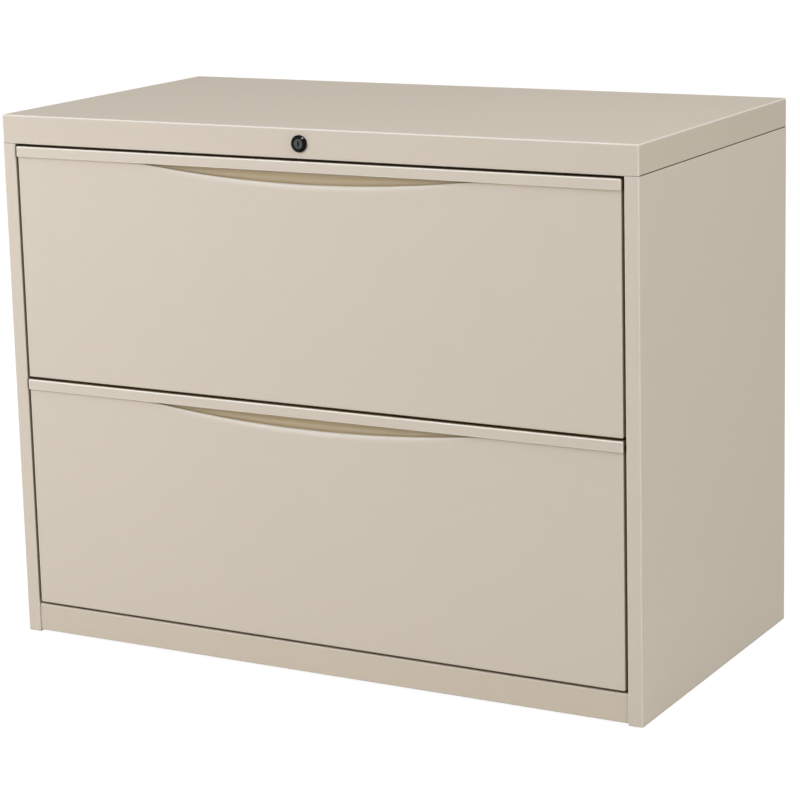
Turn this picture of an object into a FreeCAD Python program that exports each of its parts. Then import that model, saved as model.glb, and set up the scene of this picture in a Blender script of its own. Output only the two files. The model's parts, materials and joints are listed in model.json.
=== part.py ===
"""A two-drawer lateral filing cabinet of folded sheet steel, in millimetres.

X runs to the right, Y to the back and Z up. The origin lies on the floor, under the middle of the
whole object. Drawer fronts face -Y. Every piece is its own solid in its own file.
"""
import FreeCAD, Part
import math
import os

V = FreeCAD.Vector
os.makedirs("parts", exist_ok=True)

# Overall size of the case
case_width = 914.4
case_depth = 473.1
overall_height = 711.2
case_lift = 3.0
drawer_names = ("lower", "upper")

# Sheets and folds
case_sheet = 1.2
drawer_sheet = 1.0
inside_bend = 0.8
overrun = 6.0

# Top cover
cover_skirt = 38.1
cover_edge = 2.5
cover_corner = 3.0
cover_hem = 1.6
cover_lip = 12.0

# Posts beside the drawers and rear flanges of the side panels
post_width = 19.4
post_return = 46.0
rear_flange = 16.0

# Toe rail and base frame
toe_rail_height = 39.5
toe_rail_recess = 2.0
toe_rail_raise = 1.5
toe_rail_ledge = 44.0
toe_rail_edge = 3.0
toe_rail_hem = 12.0
base_channel_width = 44.0
base_channel_height = 30.0
base_channel_lip = 10.0
base_floor_lift = 10.0
rear_rail_height = 40.0
rear_rail_ledge = 28.0
rear_rail_shelf = 74.0
counterweight_end_gap = 77.2
counterweight_depth = 64.0
counterweight_height = 20.0
counterweight_edge = 3.0

# Rear uprights and header rail
upright_depth = 40.0
upright_setback = 45.0
header_setback = 33.3
header_height = 62.0
header_ledge = 30.0
back_panel_ledge = 12.0
back_panel_edge_gap = 1.0

# Drawer fronts
drawer_gap = 3.0
front_side_gap = 3.6
front_depth = 19.0
front_edge = 2.0
front_corner = 2.2

# Pull strips
strip_sheet = 1.2
strip_height = 13.4
strip_proud = 2.5
strip_overhang = 0.8
strip_edge = 2.2
strip_corner = 2.4

# Crescent recess pressed into each front, under its pull strip
recess_arc = 1700.0
recess_drop = 21.0
recess_lip = 5.0
recess_depth = 15.0
recess_hollow = 7.0

# Telescopic slides
slide_setback = 22.0
slide_rear_space = 44.7
slide_thickness = 12.7
slide_hold_back = 16.4
slide_rise = 82.0
channel_half_height = 22.9
channel_sheet = 1.3
middle_sheet = 1.2
runner_sheet = 1.3
outer_ball = 2.0
inner_ball = 1.8
ball_play = 0.15
race_play = 0.2
ball_line = 6.35
lip_reach = 2.6
middle_web_setback = 2.8
cage_sheet = 0.6
cage_play = 0.4
cage_length = 180.0
cage_travel_share = 0.25
cage_front_room = 10.5
pocket_play = 0.12
balls_per_row = 2

# Drawer bodies
drawer_floor_rise = 14.0
drawer_side_drop = 46.8
drawer_rear_space = 44.1
side_foot = 12.0
side_top_flange = 11.0
side_hem = 8.0
bead_height = 3.0
bead_width = 16.0
bead_count = 3
liner_flange = 9.0
hook_hem_width = 3.8
hook_hem_drop = 10.0
back_foot = 12.0

# Hanging rails
letter_span = 304.8
legal_span = 381.0
rail_sheet = 2.0
rail_height = 18.0
rail_over_flange = 7.0
rail_side_gap = 0.6
tooth_width = 4.0
tooth_drop = 5.0
slot_play = 0.4
rail_lift = 25.0

# Lock: bezel, barrel, plug and nut
lock_bezel_radius = 10.8
lock_proud = 4.5
lock_bezel_edge = 1.8
lock_barrel_radius = 9.5
lock_barrel_length = 27.0
lock_barrel_flat = 8.0
lock_hole_play = 0.15
plug_radius = 6.5
plug_play = 0.05
plug_recess = 1.1
plug_end_gap = 0.4
keyhole_width = 1.8
keyhole_height = 8.0
keyhole_depth = 12.0
keyhole_centre = 1.6
nut_across = 24.0
nut_thickness = 4.0

# Lock linkage: cam, slide bar, bell crank and lock rod
link_sheet = 2.0
link_gap = 0.3
link_pin_radius = 2.5
cam_throw = 10.0
cam_half_width = 5.5
cam_turn_degrees = 90.0
bar_height = 16.0
bar_end = 8.0
cam_slot_play = 0.45
crank_slot_play = 0.35
slot_end_play = 0.4
bar_setback = 31.0
crank_setback = 28.5
crank_bar_arm = 26.0
crank_rod_arm = 18.0
crank_half_width = 6.5
crank_neck_half = 2.0
crank_tip_radius = 3.0
crank_stud_radius = 4.0
crank_stud_head = 6.0
crank_stud_play = 0.05
stud_cap = 1.2
rod_setback = 22.0
rod_width = 14.0
rod_wall_gap = 8.2
rod_end = 10.0
finger_height = 14.0
finger_reach = 17.0
strike_rise = 150.0
strike_height = 12.0
strike_reach = 11.0
strike_gap = 1.6
strike_drop_gap = 2.5
finger_slot_play = 0.9
keeper_width = 12.0
keeper_wall = 3.2
keeper_front_wall = 1.4
keeper_shares = (0.33, 0.78)
rod_guide_height = 12.0
rod_guide_wall = 2.0
rod_guide_shares = (0.42, 0.9)

# Levelling glides
glide_inset = 22.0
glide_front_setback = 76.0
glide_rear_setback = 36.0
glide_foot_radius = 15.0
glide_foot_height = 6.0
glide_foot_edge = 1.5
glide_hex_across = 13.0
glide_hex_gap = 0.3
glide_stem_radius = 4.0
glide_stem_play = 0.05
glide_stem_length = 38.0
glide_hole_play = 0.5
glide_nut_across = 16.0
glide_nut_height = 8.0

# Screws that hold the back panel
screw_head_radius = 4.2
screw_head_height = 2.2
screw_head_edge = 0.9
screw_shank_radius = 2.0
screw_shank_play = 0.08
screw_length = 8.0
screw_row_count = 4
screw_end_margin = 60.0

# Planes and lines worked out from the sizes above
total_depth = lock_proud + case_depth + screw_head_height
front_y = lock_proud - total_depth / 2
back_y = front_y + case_depth
case_half = case_width / 2
case_inside = case_half - case_sheet
opening_half = case_half - post_width
cover_bottom = overall_height - cover_skirt
cover_ceiling = overall_height - case_sheet
toe_rail_top = case_lift + toe_rail_height
opening_height = cover_bottom - toe_rail_top
drawer_count = len(drawer_names)
front_height = (opening_height - (drawer_count + 1) * drawer_gap) / drawer_count
front_half = opening_half - front_side_gap
drawer_half = opening_half - slide_thickness
drawer_inside = drawer_half - drawer_sheet
drawer_rear = back_y - drawer_rear_space
slide_length = case_depth - slide_setback - slide_rear_space
slide_travel = slide_length - slide_hold_back
lock_z = overall_height - cover_skirt / 2


def behind(depth):
    """The Y of a plane this far behind the face of the posts."""
    return front_y + depth


def drawer_base(index):
    """The Z of the lower edge of a drawer front, counted from the bottom drawer."""
    return toe_rail_top + drawer_gap + index * (front_height + drawer_gap)


def on_x(x):
    """Places outline points (y, z) in the plane at this X."""
    return lambda p: V(x, p.x, p.y)


def on_y(y):
    """Places outline points (x, z) in the plane at this Y."""
    return lambda p: V(p.x, y, p.y)


def on_z(z):
    """Places outline points (x, y) in the plane at this Z."""
    return lambda p: V(p.x, p.y, z)


def outline(points, radii, place):
    """A closed wire through the points, each corner rounded by a tangent arc of its own radius.

    The arc leaves each side at radius / tan(half the corner's angle) from the corner.
    """
    corners = [V(a, b, 0) for a, b in points]
    starts, ends, middles = [], [], []
    for i, here in enumerate(corners):
        before = (corners[i - 1] - here).normalize()
        after = (corners[(i + 1) % len(corners)] - here).normalize()
        if radii[i] == 0:
            starts.append(here)
            ends.append(here)
            middles.append(None)
            continue
        half_angle = before.getAngle(after) / 2
        reach = radii[i] / math.tan(half_angle)
        inward = (before + after).normalize()
        centre = here + inward * (radii[i] / math.sin(half_angle))
        starts.append(here + before * reach)
        ends.append(here + after * reach)
        middles.append(centre - inward * radii[i])
    edges = []
    for i in range(len(corners)):
        if middles[i] is not None:
            edges.append(Part.Arc(place(starts[i]), place(middles[i]), place(ends[i])).toShape())
        following = starts[(i + 1) % len(corners)]
        if (following - ends[i]).Length > Part.Precision.confusion():
            edges.append(Part.LineSegment(place(ends[i]), place(following)).toShape())
    return Part.Wire(edges)


def along_x(points, radii, low, high):
    """A prism with the outline (y, z), from X low to X high."""
    return Part.Face(outline(points, radii, on_x(low))).extrude(V(high - low, 0, 0))


def along_y(points, radii, low, high):
    """A prism with the outline (x, z), from Y low to Y high."""
    return Part.Face(outline(points, radii, on_y(low))).extrude(V(0, high - low, 0))


def along_z(points, radii, low, high):
    """A prism with the outline (x, y), from Z low to Z high."""
    return Part.Face(outline(points, radii, on_z(low))).extrude(V(0, 0, high - low))


def folded(path, sheet, bends):
    """Outline and radii of a folded sheet whose one face is the path, with the sheet to its left.

    The other face is the path moved sheet to the left, so its corners lie where the moved lines
    meet. A fold has its bend as radius on the hollow side, and bend + sheet on the full side.
    """
    corners = [V(a, b, 0) for a, b in path]
    ways = [(corners[i + 1] - corners[i]).normalize() for i in range(len(corners) - 1)]
    lefts = [V(-way.y, way.x, 0) for way in ways]
    near, far = [0], [0]
    moved = [corners[0] + lefts[0] * sheet]
    for i in range(1, len(corners) - 1):
        share = sheet / (1 + lefts[i - 1].dot(lefts[i]))
        moved.append(corners[i] + (lefts[i - 1] + lefts[i]) * share)
        turns_left = lefts[i - 1].dot(ways[i]) > 0
        hollow, full = bends[i - 1], bends[i - 1] + sheet
        near.append(full if turns_left else hollow)
        far.append(hollow if turns_left else full)
    moved.append(corners[-1] + lefts[-1] * sheet)
    near.append(0)
    far.append(0)
    points = [(p.x, p.y) for p in corners] + [(p.x, p.y) for p in reversed(moved)]
    return points, near + far[::-1]


def bent(path, sheet):
    """Outline and radii of a sheet with the usual small radius inside every fold."""
    return folded(path, sheet, [inside_bend] * (len(path) - 2))


def block(x_low, x_high, y_low, y_high, z_low, z_high):
    """A plain box between two corners."""
    low = V(x_low, y_low, z_low)
    return Part.makeBox(x_high - x_low, y_high - y_low, z_high - z_low, low)


def round_bar(radius, y_low, y_high, x, z):
    """A cylinder along Y."""
    return Part.makeCylinder(radius, y_high - y_low, V(x, y_low, z), V(0, 1, 0))


def round_post(radius, z_low, z_high, x, y):
    """A cylinder along Z."""
    return Part.makeCylinder(radius, z_high - z_low, V(x, y, z_low))


def round_edges(shape, radius, wanted):
    """The shape with a fillet on each edge that wanted() picks."""
    return shape.makeFillet(radius, [edge for edge in shape.Edges if wanted(edge)])


def lies_at(edge, axis, value):
    """Whether an edge lies in the plane where its X, Y or Z, axis 0, 1 or 2, has this value."""
    near = Part.Precision.confusion() * 10
    return all(abs(vertex.Point[axis] - value) < near for vertex in edge.Vertexes)


def rectangle(a_low, a_high, b_low, b_high):
    """The four corners of a rectangle."""
    return [(a_low, b_low), (a_high, b_low), (a_high, b_high), (a_low, b_high)]


def hexagon(across, x, y):
    """The six corners of a hexagon this wide across its flats."""
    radius = across / math.sqrt(3)
    angles = [math.radians(60 * step) for step in range(6)]
    return [(x + radius * math.cos(a), y + radius * math.sin(a)) for a in angles]


def mirrored(shape):
    """The shape on the other side of the middle plane."""
    return shape.mirror(V(0, 0, 0), V(1, 0, 0))


def save(name, shape):
    """Writes one piece, or one group of separate solids, to its own file."""
    solids = shape.Solids
    if not solids or not all(solid.isValid() and solid.Volume > 0 for solid in solids):
        raise ValueError("bad solid in " + name)
    tidy = solids[0] if len(solids) == 1 else Part.makeCompound(solids)
    tidy.exportStep("parts/" + name + ".step")
    print(name, len(solids), round(sum(solid.Volume for solid in solids), 1))


# Case

def make_top_cover():
    """Folded lid: a rounded box shell with a lip turned in under its skirt."""
    radii = [cover_corner] * 4
    outside = along_z(rectangle(-case_half, case_half, front_y, back_y), radii,
                      cover_bottom, overall_height)
    outside = round_edges(outside, cover_edge, lambda e: lies_at(e, 2, overall_height))
    outside = round_edges(outside, cover_hem, lambda e: lies_at(e, 2, cover_bottom))
    inner_radii = [cover_corner - case_sheet] * 4
    inside = along_z(rectangle(-case_inside, case_inside, front_y + case_sheet, back_y - case_sheet),
                     inner_radii, cover_bottom + case_sheet, cover_ceiling)
    inside = round_edges(inside, cover_edge - case_sheet, lambda e: lies_at(e, 2, cover_ceiling))
    hole_half = case_half - cover_lip
    mouth = along_z(rectangle(-hole_half, hole_half, front_y + cover_lip, back_y - cover_lip),
                    inner_radii, cover_bottom - overrun, cover_ceiling - cover_edge)
    lock_hole = round_bar(lock_barrel_radius + lock_hole_play, front_y - overrun,
                          front_y + cover_lip, 0, lock_z)
    return outside.cut(inside).cut(mouth).cut(lock_hole)


def make_side_panel():
    """Right side: one sheet from the post's return, round the post, to the rear flange."""
    path = [(opening_half, behind(post_return)), (opening_half, front_y), (case_half, front_y),
            (case_half, back_y), (case_half - rear_flange, back_y)]
    points, radii = bent(path, case_sheet)
    panel = along_z(points, radii, case_lift, cover_bottom)
    for x, z in screw_places():
        panel = panel.cut(screw_hole(x, z))
    return panel


def make_locking_side_panel():
    """The right side panel with the slots that the lock rod's fingers and bell crank work in."""
    panel = make_side_panel()
    wide = finger_slot_play
    for index in range(drawer_count):
        low, high = finger_span(index)
        slot = block(opening_half - overrun, opening_half + case_sheet + inside_bend,
                     behind(rod_setback) - wide, behind(rod_setback + link_sheet) + wide,
                     low - wide, high + rod_travel + wide)
        panel = panel.cut(slot)
    reach = crank_tip_radius + rod_travel
    notch = block(opening_half - overrun, opening_half + case_sheet + inside_bend,
                  behind(crank_setback) - wide, behind(crank_setback + link_sheet) + wide,
                  crank_z - reach, cover_bottom + overrun)
    return panel.cut(notch)


def make_back_panel():
    """Sheet between the side panels' rear flanges and the inside, with a ledge under the cover."""
    outer = back_y - case_sheet
    path = [(outer - back_panel_ledge, cover_bottom), (outer, cover_bottom), (outer, case_lift)]
    points, radii = bent(path[::-1], case_sheet)
    half = case_inside - back_panel_edge_gap
    panel = along_x(points, radii, -half, half)
    for x, z in screw_places():
        panel = panel.cut(screw_hole(x, z)).cut(screw_hole(-x, z))
    return panel


def make_toe_rail():
    """Front rail of the base: a face with a rounded top edge, a ledge and a hem."""
    face = behind(toe_rail_recess)
    low = case_lift + toe_rail_raise
    path = [(face + toe_rail_ledge, toe_rail_top - toe_rail_hem), (face + toe_rail_ledge, toe_rail_top),
            (face, toe_rail_top), (face, low), (face + toe_rail_hem, low)]
    points, radii = folded(path, case_sheet, [inside_bend, toe_rail_edge - case_sheet, inside_bend])
    return along_x(points, radii, -opening_half, opening_half)


def make_rear_rail():
    """Rear rail of the base, with the shelf that carries the counterweight."""
    web = back_y - case_sheet * 2
    shelf = case_lift + base_floor_lift
    path = [(web - rear_rail_ledge, shelf + rear_rail_height), (web, shelf + rear_rail_height),
            (web, shelf), (web - rear_rail_shelf, shelf),
            (web - rear_rail_shelf, shelf + base_channel_lip)]
    points, radii = bent(path[::-1], case_sheet)
    half = case_inside - base_channel_width
    return along_x(points, radii, -half, half)


def make_base_channel():
    """Right channel of the base: it stands on the glides and carries the rear upright."""
    floor = case_lift + base_floor_lift
    inner = case_inside - base_channel_width
    path = [(inner, floor + base_channel_lip), (inner, floor), (case_inside, floor),
            (case_inside, floor + base_channel_height)]
    points, radii = bent(path, case_sheet)
    channel = along_y(points, radii, behind(post_return), back_y - case_sheet * 2)
    for y in glide_rows():
        hole = round_post(glide_stem_radius + glide_hole_play, floor - overrun, floor + overrun,
                          glide_x, y)
        channel = channel.cut(hole)
    return channel


def make_counterweight():
    """Steel slab on the rear rail's shelf, which keeps the cabinet upright with a drawer out."""
    shelf = case_lift + base_floor_lift + case_sheet
    rear = back_y - case_sheet * 3 - counterweight_edge
    half = case_half - counterweight_end_gap
    slab = along_x(rectangle(rear - counterweight_depth, rear, shelf, shelf + counterweight_height),
                   [0] * 4, -half, half)
    slab = round_edges(slab, counterweight_edge, lambda e: lies_at(e, 2, shelf + counterweight_height))
    return slab


def make_rear_upright():
    """Right rear upright: a channel that the slide channels are screwed to."""
    high = behind(slide_setback + slide_length) - upright_setback + upright_depth
    low = high - upright_depth
    path = [(case_inside, high), (opening_half, high), (opening_half, low), (case_inside, low)]
    points, radii = bent(path, case_sheet)
    foot = case_lift + base_floor_lift + case_sheet
    upright = along_z(points, radii, foot, cover_bottom)
    notch = block(case_inside - case_sheet - inside_bend, case_half, low - overrun, high + overrun,
                  foot - overrun, case_lift + base_floor_lift + base_channel_height + inside_bend)
    return upright.cut(notch)


def make_header_rail():
    """Channel behind the cover's skirt that ties the posts and carries the lock's linkage."""
    web = behind(header_setback)
    low = cover_ceiling - header_height
    path = [(web + header_ledge, cover_ceiling), (web, cover_ceiling), (web, low),
            (web + header_ledge, low)]
    points, radii = bent(path, case_sheet)
    rail = along_x(points, radii, -opening_half, opening_half)
    shank = crank_stud_radius
    front = behind(crank_setback) - link_gap - stud_cap
    steps = [(0, front), (crank_stud_head, front), (crank_stud_head, front + stud_cap),
             (shank, front + stud_cap), (shank, behind(crank_setback + link_sheet) + link_gap),
             (crank_stud_head, behind(crank_setback + link_sheet) + link_gap),
             (crank_stud_head, web + case_sheet), (0, web + case_sheet)]
    return rail.fuse(turned(steps, crank_x, crank_z)).removeSplitter()


def turned(steps, x, z):
    """A solid turned about the line along Y through (x, z), from steps of (radius, y)."""
    face = Part.Face(outline(steps, [0] * len(steps), lambda p: V(x + p.x, p.y, z)))
    return face.revolve(V(x, 0, z), V(0, 1, 0), 360)


# Screws

def screw_places():
    """Places (x, z) of the screws in the right rear flange."""
    low, high = case_lift + screw_end_margin, cover_bottom - screw_end_margin
    pitch = (high - low) / (screw_row_count - 1)
    x = case_half - rear_flange / 2
    return [(x, low + pitch * step) for step in range(screw_row_count)]


def screw_hole(x, z):
    """The hole that a screw of the back panel passes through."""
    radius = screw_shank_radius + screw_shank_play
    return round_bar(radius, back_y - case_sheet * 2 - overrun, back_y + overrun, x, z)


def make_case_screws():
    """Pan-head screws through the rear flanges and the back panel."""
    top = back_y + screw_head_height
    steps = [(0, back_y - screw_length), (screw_shank_radius, back_y - screw_length),
             (screw_shank_radius, back_y), (screw_head_radius, back_y),
             (screw_head_radius, top - screw_head_edge), (screw_head_radius - screw_head_edge, top),
             (0, top)]
    screws = []
    for x, z in screw_places():
        screw = turned(steps, x, z)
        screws += [screw, mirrored(screw)]
    return Part.makeCompound(screws)


# Levelling glides

glide_x = case_inside - glide_inset


def glide_rows():
    """The Y of the front and rear glides."""
    return behind(glide_front_setback), back_y - glide_rear_setback


def make_glide(x, y):
    """A glide: a round foot, a hexagon for the wrench and a stem."""
    foot = round_post(glide_foot_radius, 0, glide_foot_height - glide_foot_edge, x, y)
    bevel = Part.makeCone(glide_foot_radius, glide_foot_radius - glide_foot_edge, glide_foot_edge,
                          V(x, y, glide_foot_height - glide_foot_edge))
    hex_top = case_lift + base_floor_lift - glide_hex_gap
    collar = along_z(hexagon(glide_hex_across, x, y), [0] * 6, glide_foot_height, hex_top)
    stem = round_post(glide_stem_radius, hex_top, hex_top + glide_stem_length, x, y)
    return foot.fuse([bevel, collar, stem])


def make_glide_nuts():
    """Weld nuts on the floors of the base channels."""
    floor = case_lift + base_floor_lift + case_sheet
    nuts = []
    for y in glide_rows():
        nut = along_z(hexagon(glide_nut_across, glide_x, y), [0] * 6, floor, floor + glide_nut_height)
        bore = round_post(glide_stem_radius + glide_stem_play, floor - overrun,
                          floor + glide_nut_height + overrun, glide_x, y)
        nut = nut.cut(bore)
        nuts += [nut, mirrored(nut)]
    return Part.makeCompound(nuts)


# Lock

cam_half_turn = math.radians(cam_turn_degrees / 2)
cam_pin_x = cam_throw * math.sin(cam_half_turn)
cam_pin_drop = cam_throw * math.cos(cam_half_turn)
bar_z = lock_z - (cam_throw + cam_pin_drop) / 2
crank_half_turn = math.asin(cam_pin_x / crank_bar_arm)
crank_pin_rise = crank_bar_arm * (1 + math.cos(crank_half_turn)) / 2
crank_z = bar_z - crank_pin_rise
rod_travel = 2 * crank_rod_arm * math.sin(crank_half_turn)
rod_x = case_inside - rod_wall_gap
crank_x = rod_x - crank_rod_arm * (1 + math.cos(crank_half_turn)) / 2
rod_pin_z = crank_z - rod_travel / 2


def finger_span(index):
    """The Z of the lower and upper edge of a lock rod finger, at rest, below its strike."""
    top = drawer_base(index) + drawer_floor_rise + strike_rise - strike_drop_gap
    return top - finger_height, top


def make_lock_housing():
    """Bezel and barrel, bored for the plug, with two flats along the barrel."""
    bore = plug_radius + plug_play
    bezel = round_bar(lock_bezel_radius, front_y - lock_proud, front_y, 0, lock_z)
    bezel = round_edges(bezel, lock_bezel_edge, lambda e: lies_at(e, 1, front_y - lock_proud))
    barrel = round_bar(lock_barrel_radius, front_y, behind(lock_barrel_length), 0, lock_z)
    flats = block(-lock_barrel_radius, lock_barrel_radius, front_y, behind(lock_barrel_length),
                  lock_z - lock_barrel_flat, lock_z + lock_barrel_flat)
    body = bezel.fuse(barrel.common(flats))
    return body.cut(round_bar(bore, front_y - overrun, behind(lock_barrel_length) + overrun, 0, lock_z))


def make_lock_nut():
    """Hexagon nut that clamps the barrel against the back of the skirt."""
    low = behind(case_sheet)
    corners = [(a, b + lock_z) for a, b in hexagon(nut_across, 0, 0)]
    nut = along_y(corners, [0] * 6, low, low + nut_thickness)
    barrel = round_bar(lock_barrel_radius, low, low + nut_thickness, 0, lock_z)
    flats = block(-lock_barrel_radius, lock_barrel_radius, low, low + nut_thickness,
                  lock_z - lock_barrel_flat, lock_z + lock_barrel_flat)
    return nut.cut(barrel.common(flats))


def make_lock_plug():
    """Plug with a keyhole that stands upright when the lock is open."""
    face = front_y - lock_proud + plug_recess
    end = behind(lock_barrel_length) + plug_end_gap
    plug = round_bar(plug_radius, face, end, 0, lock_z)
    slot = block(-keyhole_width / 2, keyhole_width / 2, face - overrun, face + keyhole_depth,
                 lock_z - keyhole_height / 2, lock_z + keyhole_height / 2)
    centre = round_bar(keyhole_centre, face - overrun, face + keyhole_depth, 0, lock_z)
    return plug.cut(slot).cut(centre)


def link_plate(x_low, z_low, x_high, z_high, half_width, y):
    """A plate with round ends about two centres, link_sheet thick from Y."""
    length = math.hypot(x_high - x_low, z_high - z_low)
    plate = block(0, length, y, y + link_sheet, -half_width, half_width)
    plate = plate.fuse([round_bar(half_width, y, y + link_sheet, 0, 0),
                        round_bar(half_width, y, y + link_sheet, length, 0)])
    plate.rotate(V(0, 0, 0), V(0, 1, 0), -math.degrees(math.atan2(z_high - z_low, x_high - x_low)))
    plate.translate(V(x_low, 0, z_low))
    return plate


def make_lock_cam():
    """Cam on the plug's end, with the pin that moves the slide bar."""
    low = behind(lock_barrel_length) + plug_end_gap
    plate = link_plate(0, lock_z, cam_pin_x, lock_z - cam_pin_drop, cam_half_width, low)
    pin = round_bar(link_pin_radius, low + link_sheet, behind(bar_setback + link_sheet),
                    cam_pin_x, lock_z - cam_pin_drop)
    return plate.fuse(pin)


def upright_slot(x, z, half_width, half_height):
    """A slot with round ends for a pin in the slide bar."""
    low, high = behind(bar_setback) - overrun, behind(bar_setback + link_sheet) + overrun
    straight = half_height - half_width
    slot = block(x - half_width, x + half_width, low, high, z - straight, z + straight)
    return slot.fuse([round_bar(half_width, low, high, x, z - straight),
                      round_bar(half_width, low, high, x, z + straight)])


def crank_pin_x():
    """The X of the bell crank's pin at rest."""
    return crank_x + cam_pin_x


def make_slide_bar():
    """Flat bar that carries the cam's motion to the bell crank."""
    low, high = -cam_pin_x - bar_end, crank_pin_x() + bar_end
    bar = along_y(rectangle(low, high, bar_z - bar_height / 2, bar_z + bar_height / 2),
                  [link_pin_radius] * 4, behind(bar_setback), behind(bar_setback + link_sheet))
    cam_slot = upright_slot(cam_pin_x, bar_z, link_pin_radius + cam_slot_play,
                            (cam_throw - cam_pin_drop) / 2 + link_pin_radius + slot_end_play)
    rise = crank_bar_arm * (1 - math.cos(crank_half_turn)) / 2
    crank_slot = upright_slot(crank_pin_x(), bar_z, link_pin_radius + crank_slot_play,
                              rise + link_pin_radius + slot_end_play)
    return bar.cut(cam_slot).cut(crank_slot)


def make_bell_crank():
    """Crank that turns the bar's slide into the rod's lift, made square and then set at rest."""
    low = behind(crank_setback)
    upper = link_plate(crank_x, crank_z, crank_x, crank_z + crank_bar_arm, crank_half_width, low)
    neck = block(crank_x, crank_x + crank_rod_arm, low, low + link_sheet,
                 crank_z - crank_neck_half, crank_z + crank_neck_half)
    tip = round_bar(crank_tip_radius, low, low + link_sheet, crank_x + crank_rod_arm, crank_z)
    pin = round_bar(link_pin_radius, low + link_sheet, behind(bar_setback + link_sheet),
                    crank_x, crank_z + crank_bar_arm)
    bore = round_bar(crank_stud_radius + crank_stud_play, low - overrun, low + overrun, crank_x, crank_z)
    crank = upper.fuse([neck, tip, pin]).cut(bore)
    crank.rotate(V(crank_x, 0, crank_z), V(0, 1, 0), math.degrees(crank_half_turn))
    return crank


def make_lock_rod():
    """Strip inside the right post, with a finger bent out for each drawer and a crank window."""
    low = finger_span(0)[0] - rod_end
    high = rod_pin_z + rod_end
    strip = block(rod_x - link_sheet / 2, rod_x + link_sheet / 2, behind(rod_setback),
                  behind(rod_setback + rod_width), low, high)
    fingers = []
    for index in range(drawer_count):
        bottom, top = finger_span(index)
        path = [(rod_x + link_sheet / 2 - finger_reach, behind(rod_setback)),
                (rod_x + link_sheet / 2, behind(rod_setback)),
                (rod_x + link_sheet / 2, behind(rod_setback + rod_width))]
        points, radii = bent(path, link_sheet)
        fingers.append(along_z(points, radii, bottom, top))
        strip = strip.cut(block(rod_x - link_sheet, rod_x + link_sheet, behind(rod_setback),
                                behind(rod_setback + rod_width), bottom, top))
    rod = strip.fuse(fingers).removeSplitter()
    tip = crank_tip_radius + link_gap
    window = block(rod_x - link_sheet, rod_x + link_sheet, behind(crank_setback) - link_gap,
                   behind(crank_setback + link_sheet) + link_gap, rod_pin_z - tip, rod_pin_z + tip)
    return rod.cut(window)


def make_lock_guides():
    """Keepers for the slide bar on the header rail and guides for the rod on the side panel."""
    pieces = []
    web = behind(header_setback)
    for share in keeper_shares:
        x = share * crank_x
        half = bar_height / 2
        keeper = block(x - keeper_width / 2, x + keeper_width / 2,
                       behind(bar_setback) - link_gap - keeper_front_wall, web,
                       bar_z - half - keeper_wall, bar_z + half + keeper_wall)
        way = block(x - keeper_width, x + keeper_width, behind(bar_setback) - link_gap, web,
                    bar_z - half - link_gap, bar_z + half + link_gap)
        pieces.append(keeper.cut(way))
    for share in rod_guide_shares:
        z = share * rod_pin_z
        thick = link_sheet / 2
        guide = block(rod_x - thick - link_gap - rod_guide_wall, case_inside,
                      behind(rod_setback) - link_gap - rod_guide_wall,
                      behind(rod_setback + rod_width) + link_gap + rod_guide_wall,
                      z - rod_guide_height / 2, z + rod_guide_height / 2)
        way = block(rod_x - thick - link_gap, rod_x + thick + link_gap, behind(rod_setback) - link_gap,
                    behind(rod_setback + rod_width) + link_gap,
                    z - rod_guide_height, z + rod_guide_height)
        pieces.append(guide.cut(way))
    return Part.makeCompound(pieces)


# Telescopic slides. Sections are drawn as (inward from the post, up from the slide's middle)

outer_ball_z = channel_half_height - channel_sheet - ball_play - outer_ball
middle_half_height = outer_ball_z - outer_ball - ball_play
inner_ball_z = middle_half_height - middle_sheet - ball_play - inner_ball
runner_half_height = inner_ball_z - inner_ball - ball_play


def slide_member(path, sheet, bends, side_x):
    """A member of the right slide: its folded section carried along the slide's length.

    bends gives the inside radius of each fold of the path in turn.
    """
    points, radii = folded(path, sheet, bends)
    placed = [(side_x - a, b) for a, b in points]
    return along_y(placed, radii, behind(slide_setback), behind(slide_setback + slide_length))


def make_slide_channel():
    """Outer member, screwed to the post and the rear upright."""
    race = outer_ball + race_play
    lip = ball_line + race + channel_sheet
    top, lip_end = channel_half_height, channel_half_height - channel_sheet - lip_reach
    path = [(lip, lip_end), (lip, top), (0, top), (0, -top), (lip, -top), (lip, -lip_end)]
    bends = [race, inside_bend, inside_bend, race]
    return slide_member(path, channel_sheet, bends, opening_half)


def make_middle_member():
    """Middle member, between the two sets of balls."""
    race = inner_ball + race_play
    lip = ball_line + race + middle_sheet
    top, lip_end = middle_half_height, middle_half_height - middle_sheet - lip_reach
    web = middle_web_setback
    path = [(lip, lip_end), (lip, top), (web, top), (web, -top), (lip, -top), (lip, -lip_end)]
    bends = [race, inside_bend, inside_bend, race]
    return slide_member(path, middle_sheet, bends, opening_half)


def make_runner():
    """Inner member, screwed to the drawer's side."""
    top = runner_half_height
    tip = ball_line - inner_ball / 2
    web = slide_thickness
    path = [(tip, -top), (web, -top), (web, top), (tip, top)]
    return slide_member(path, runner_sheet, [inside_bend, inside_bend], opening_half)


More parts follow.
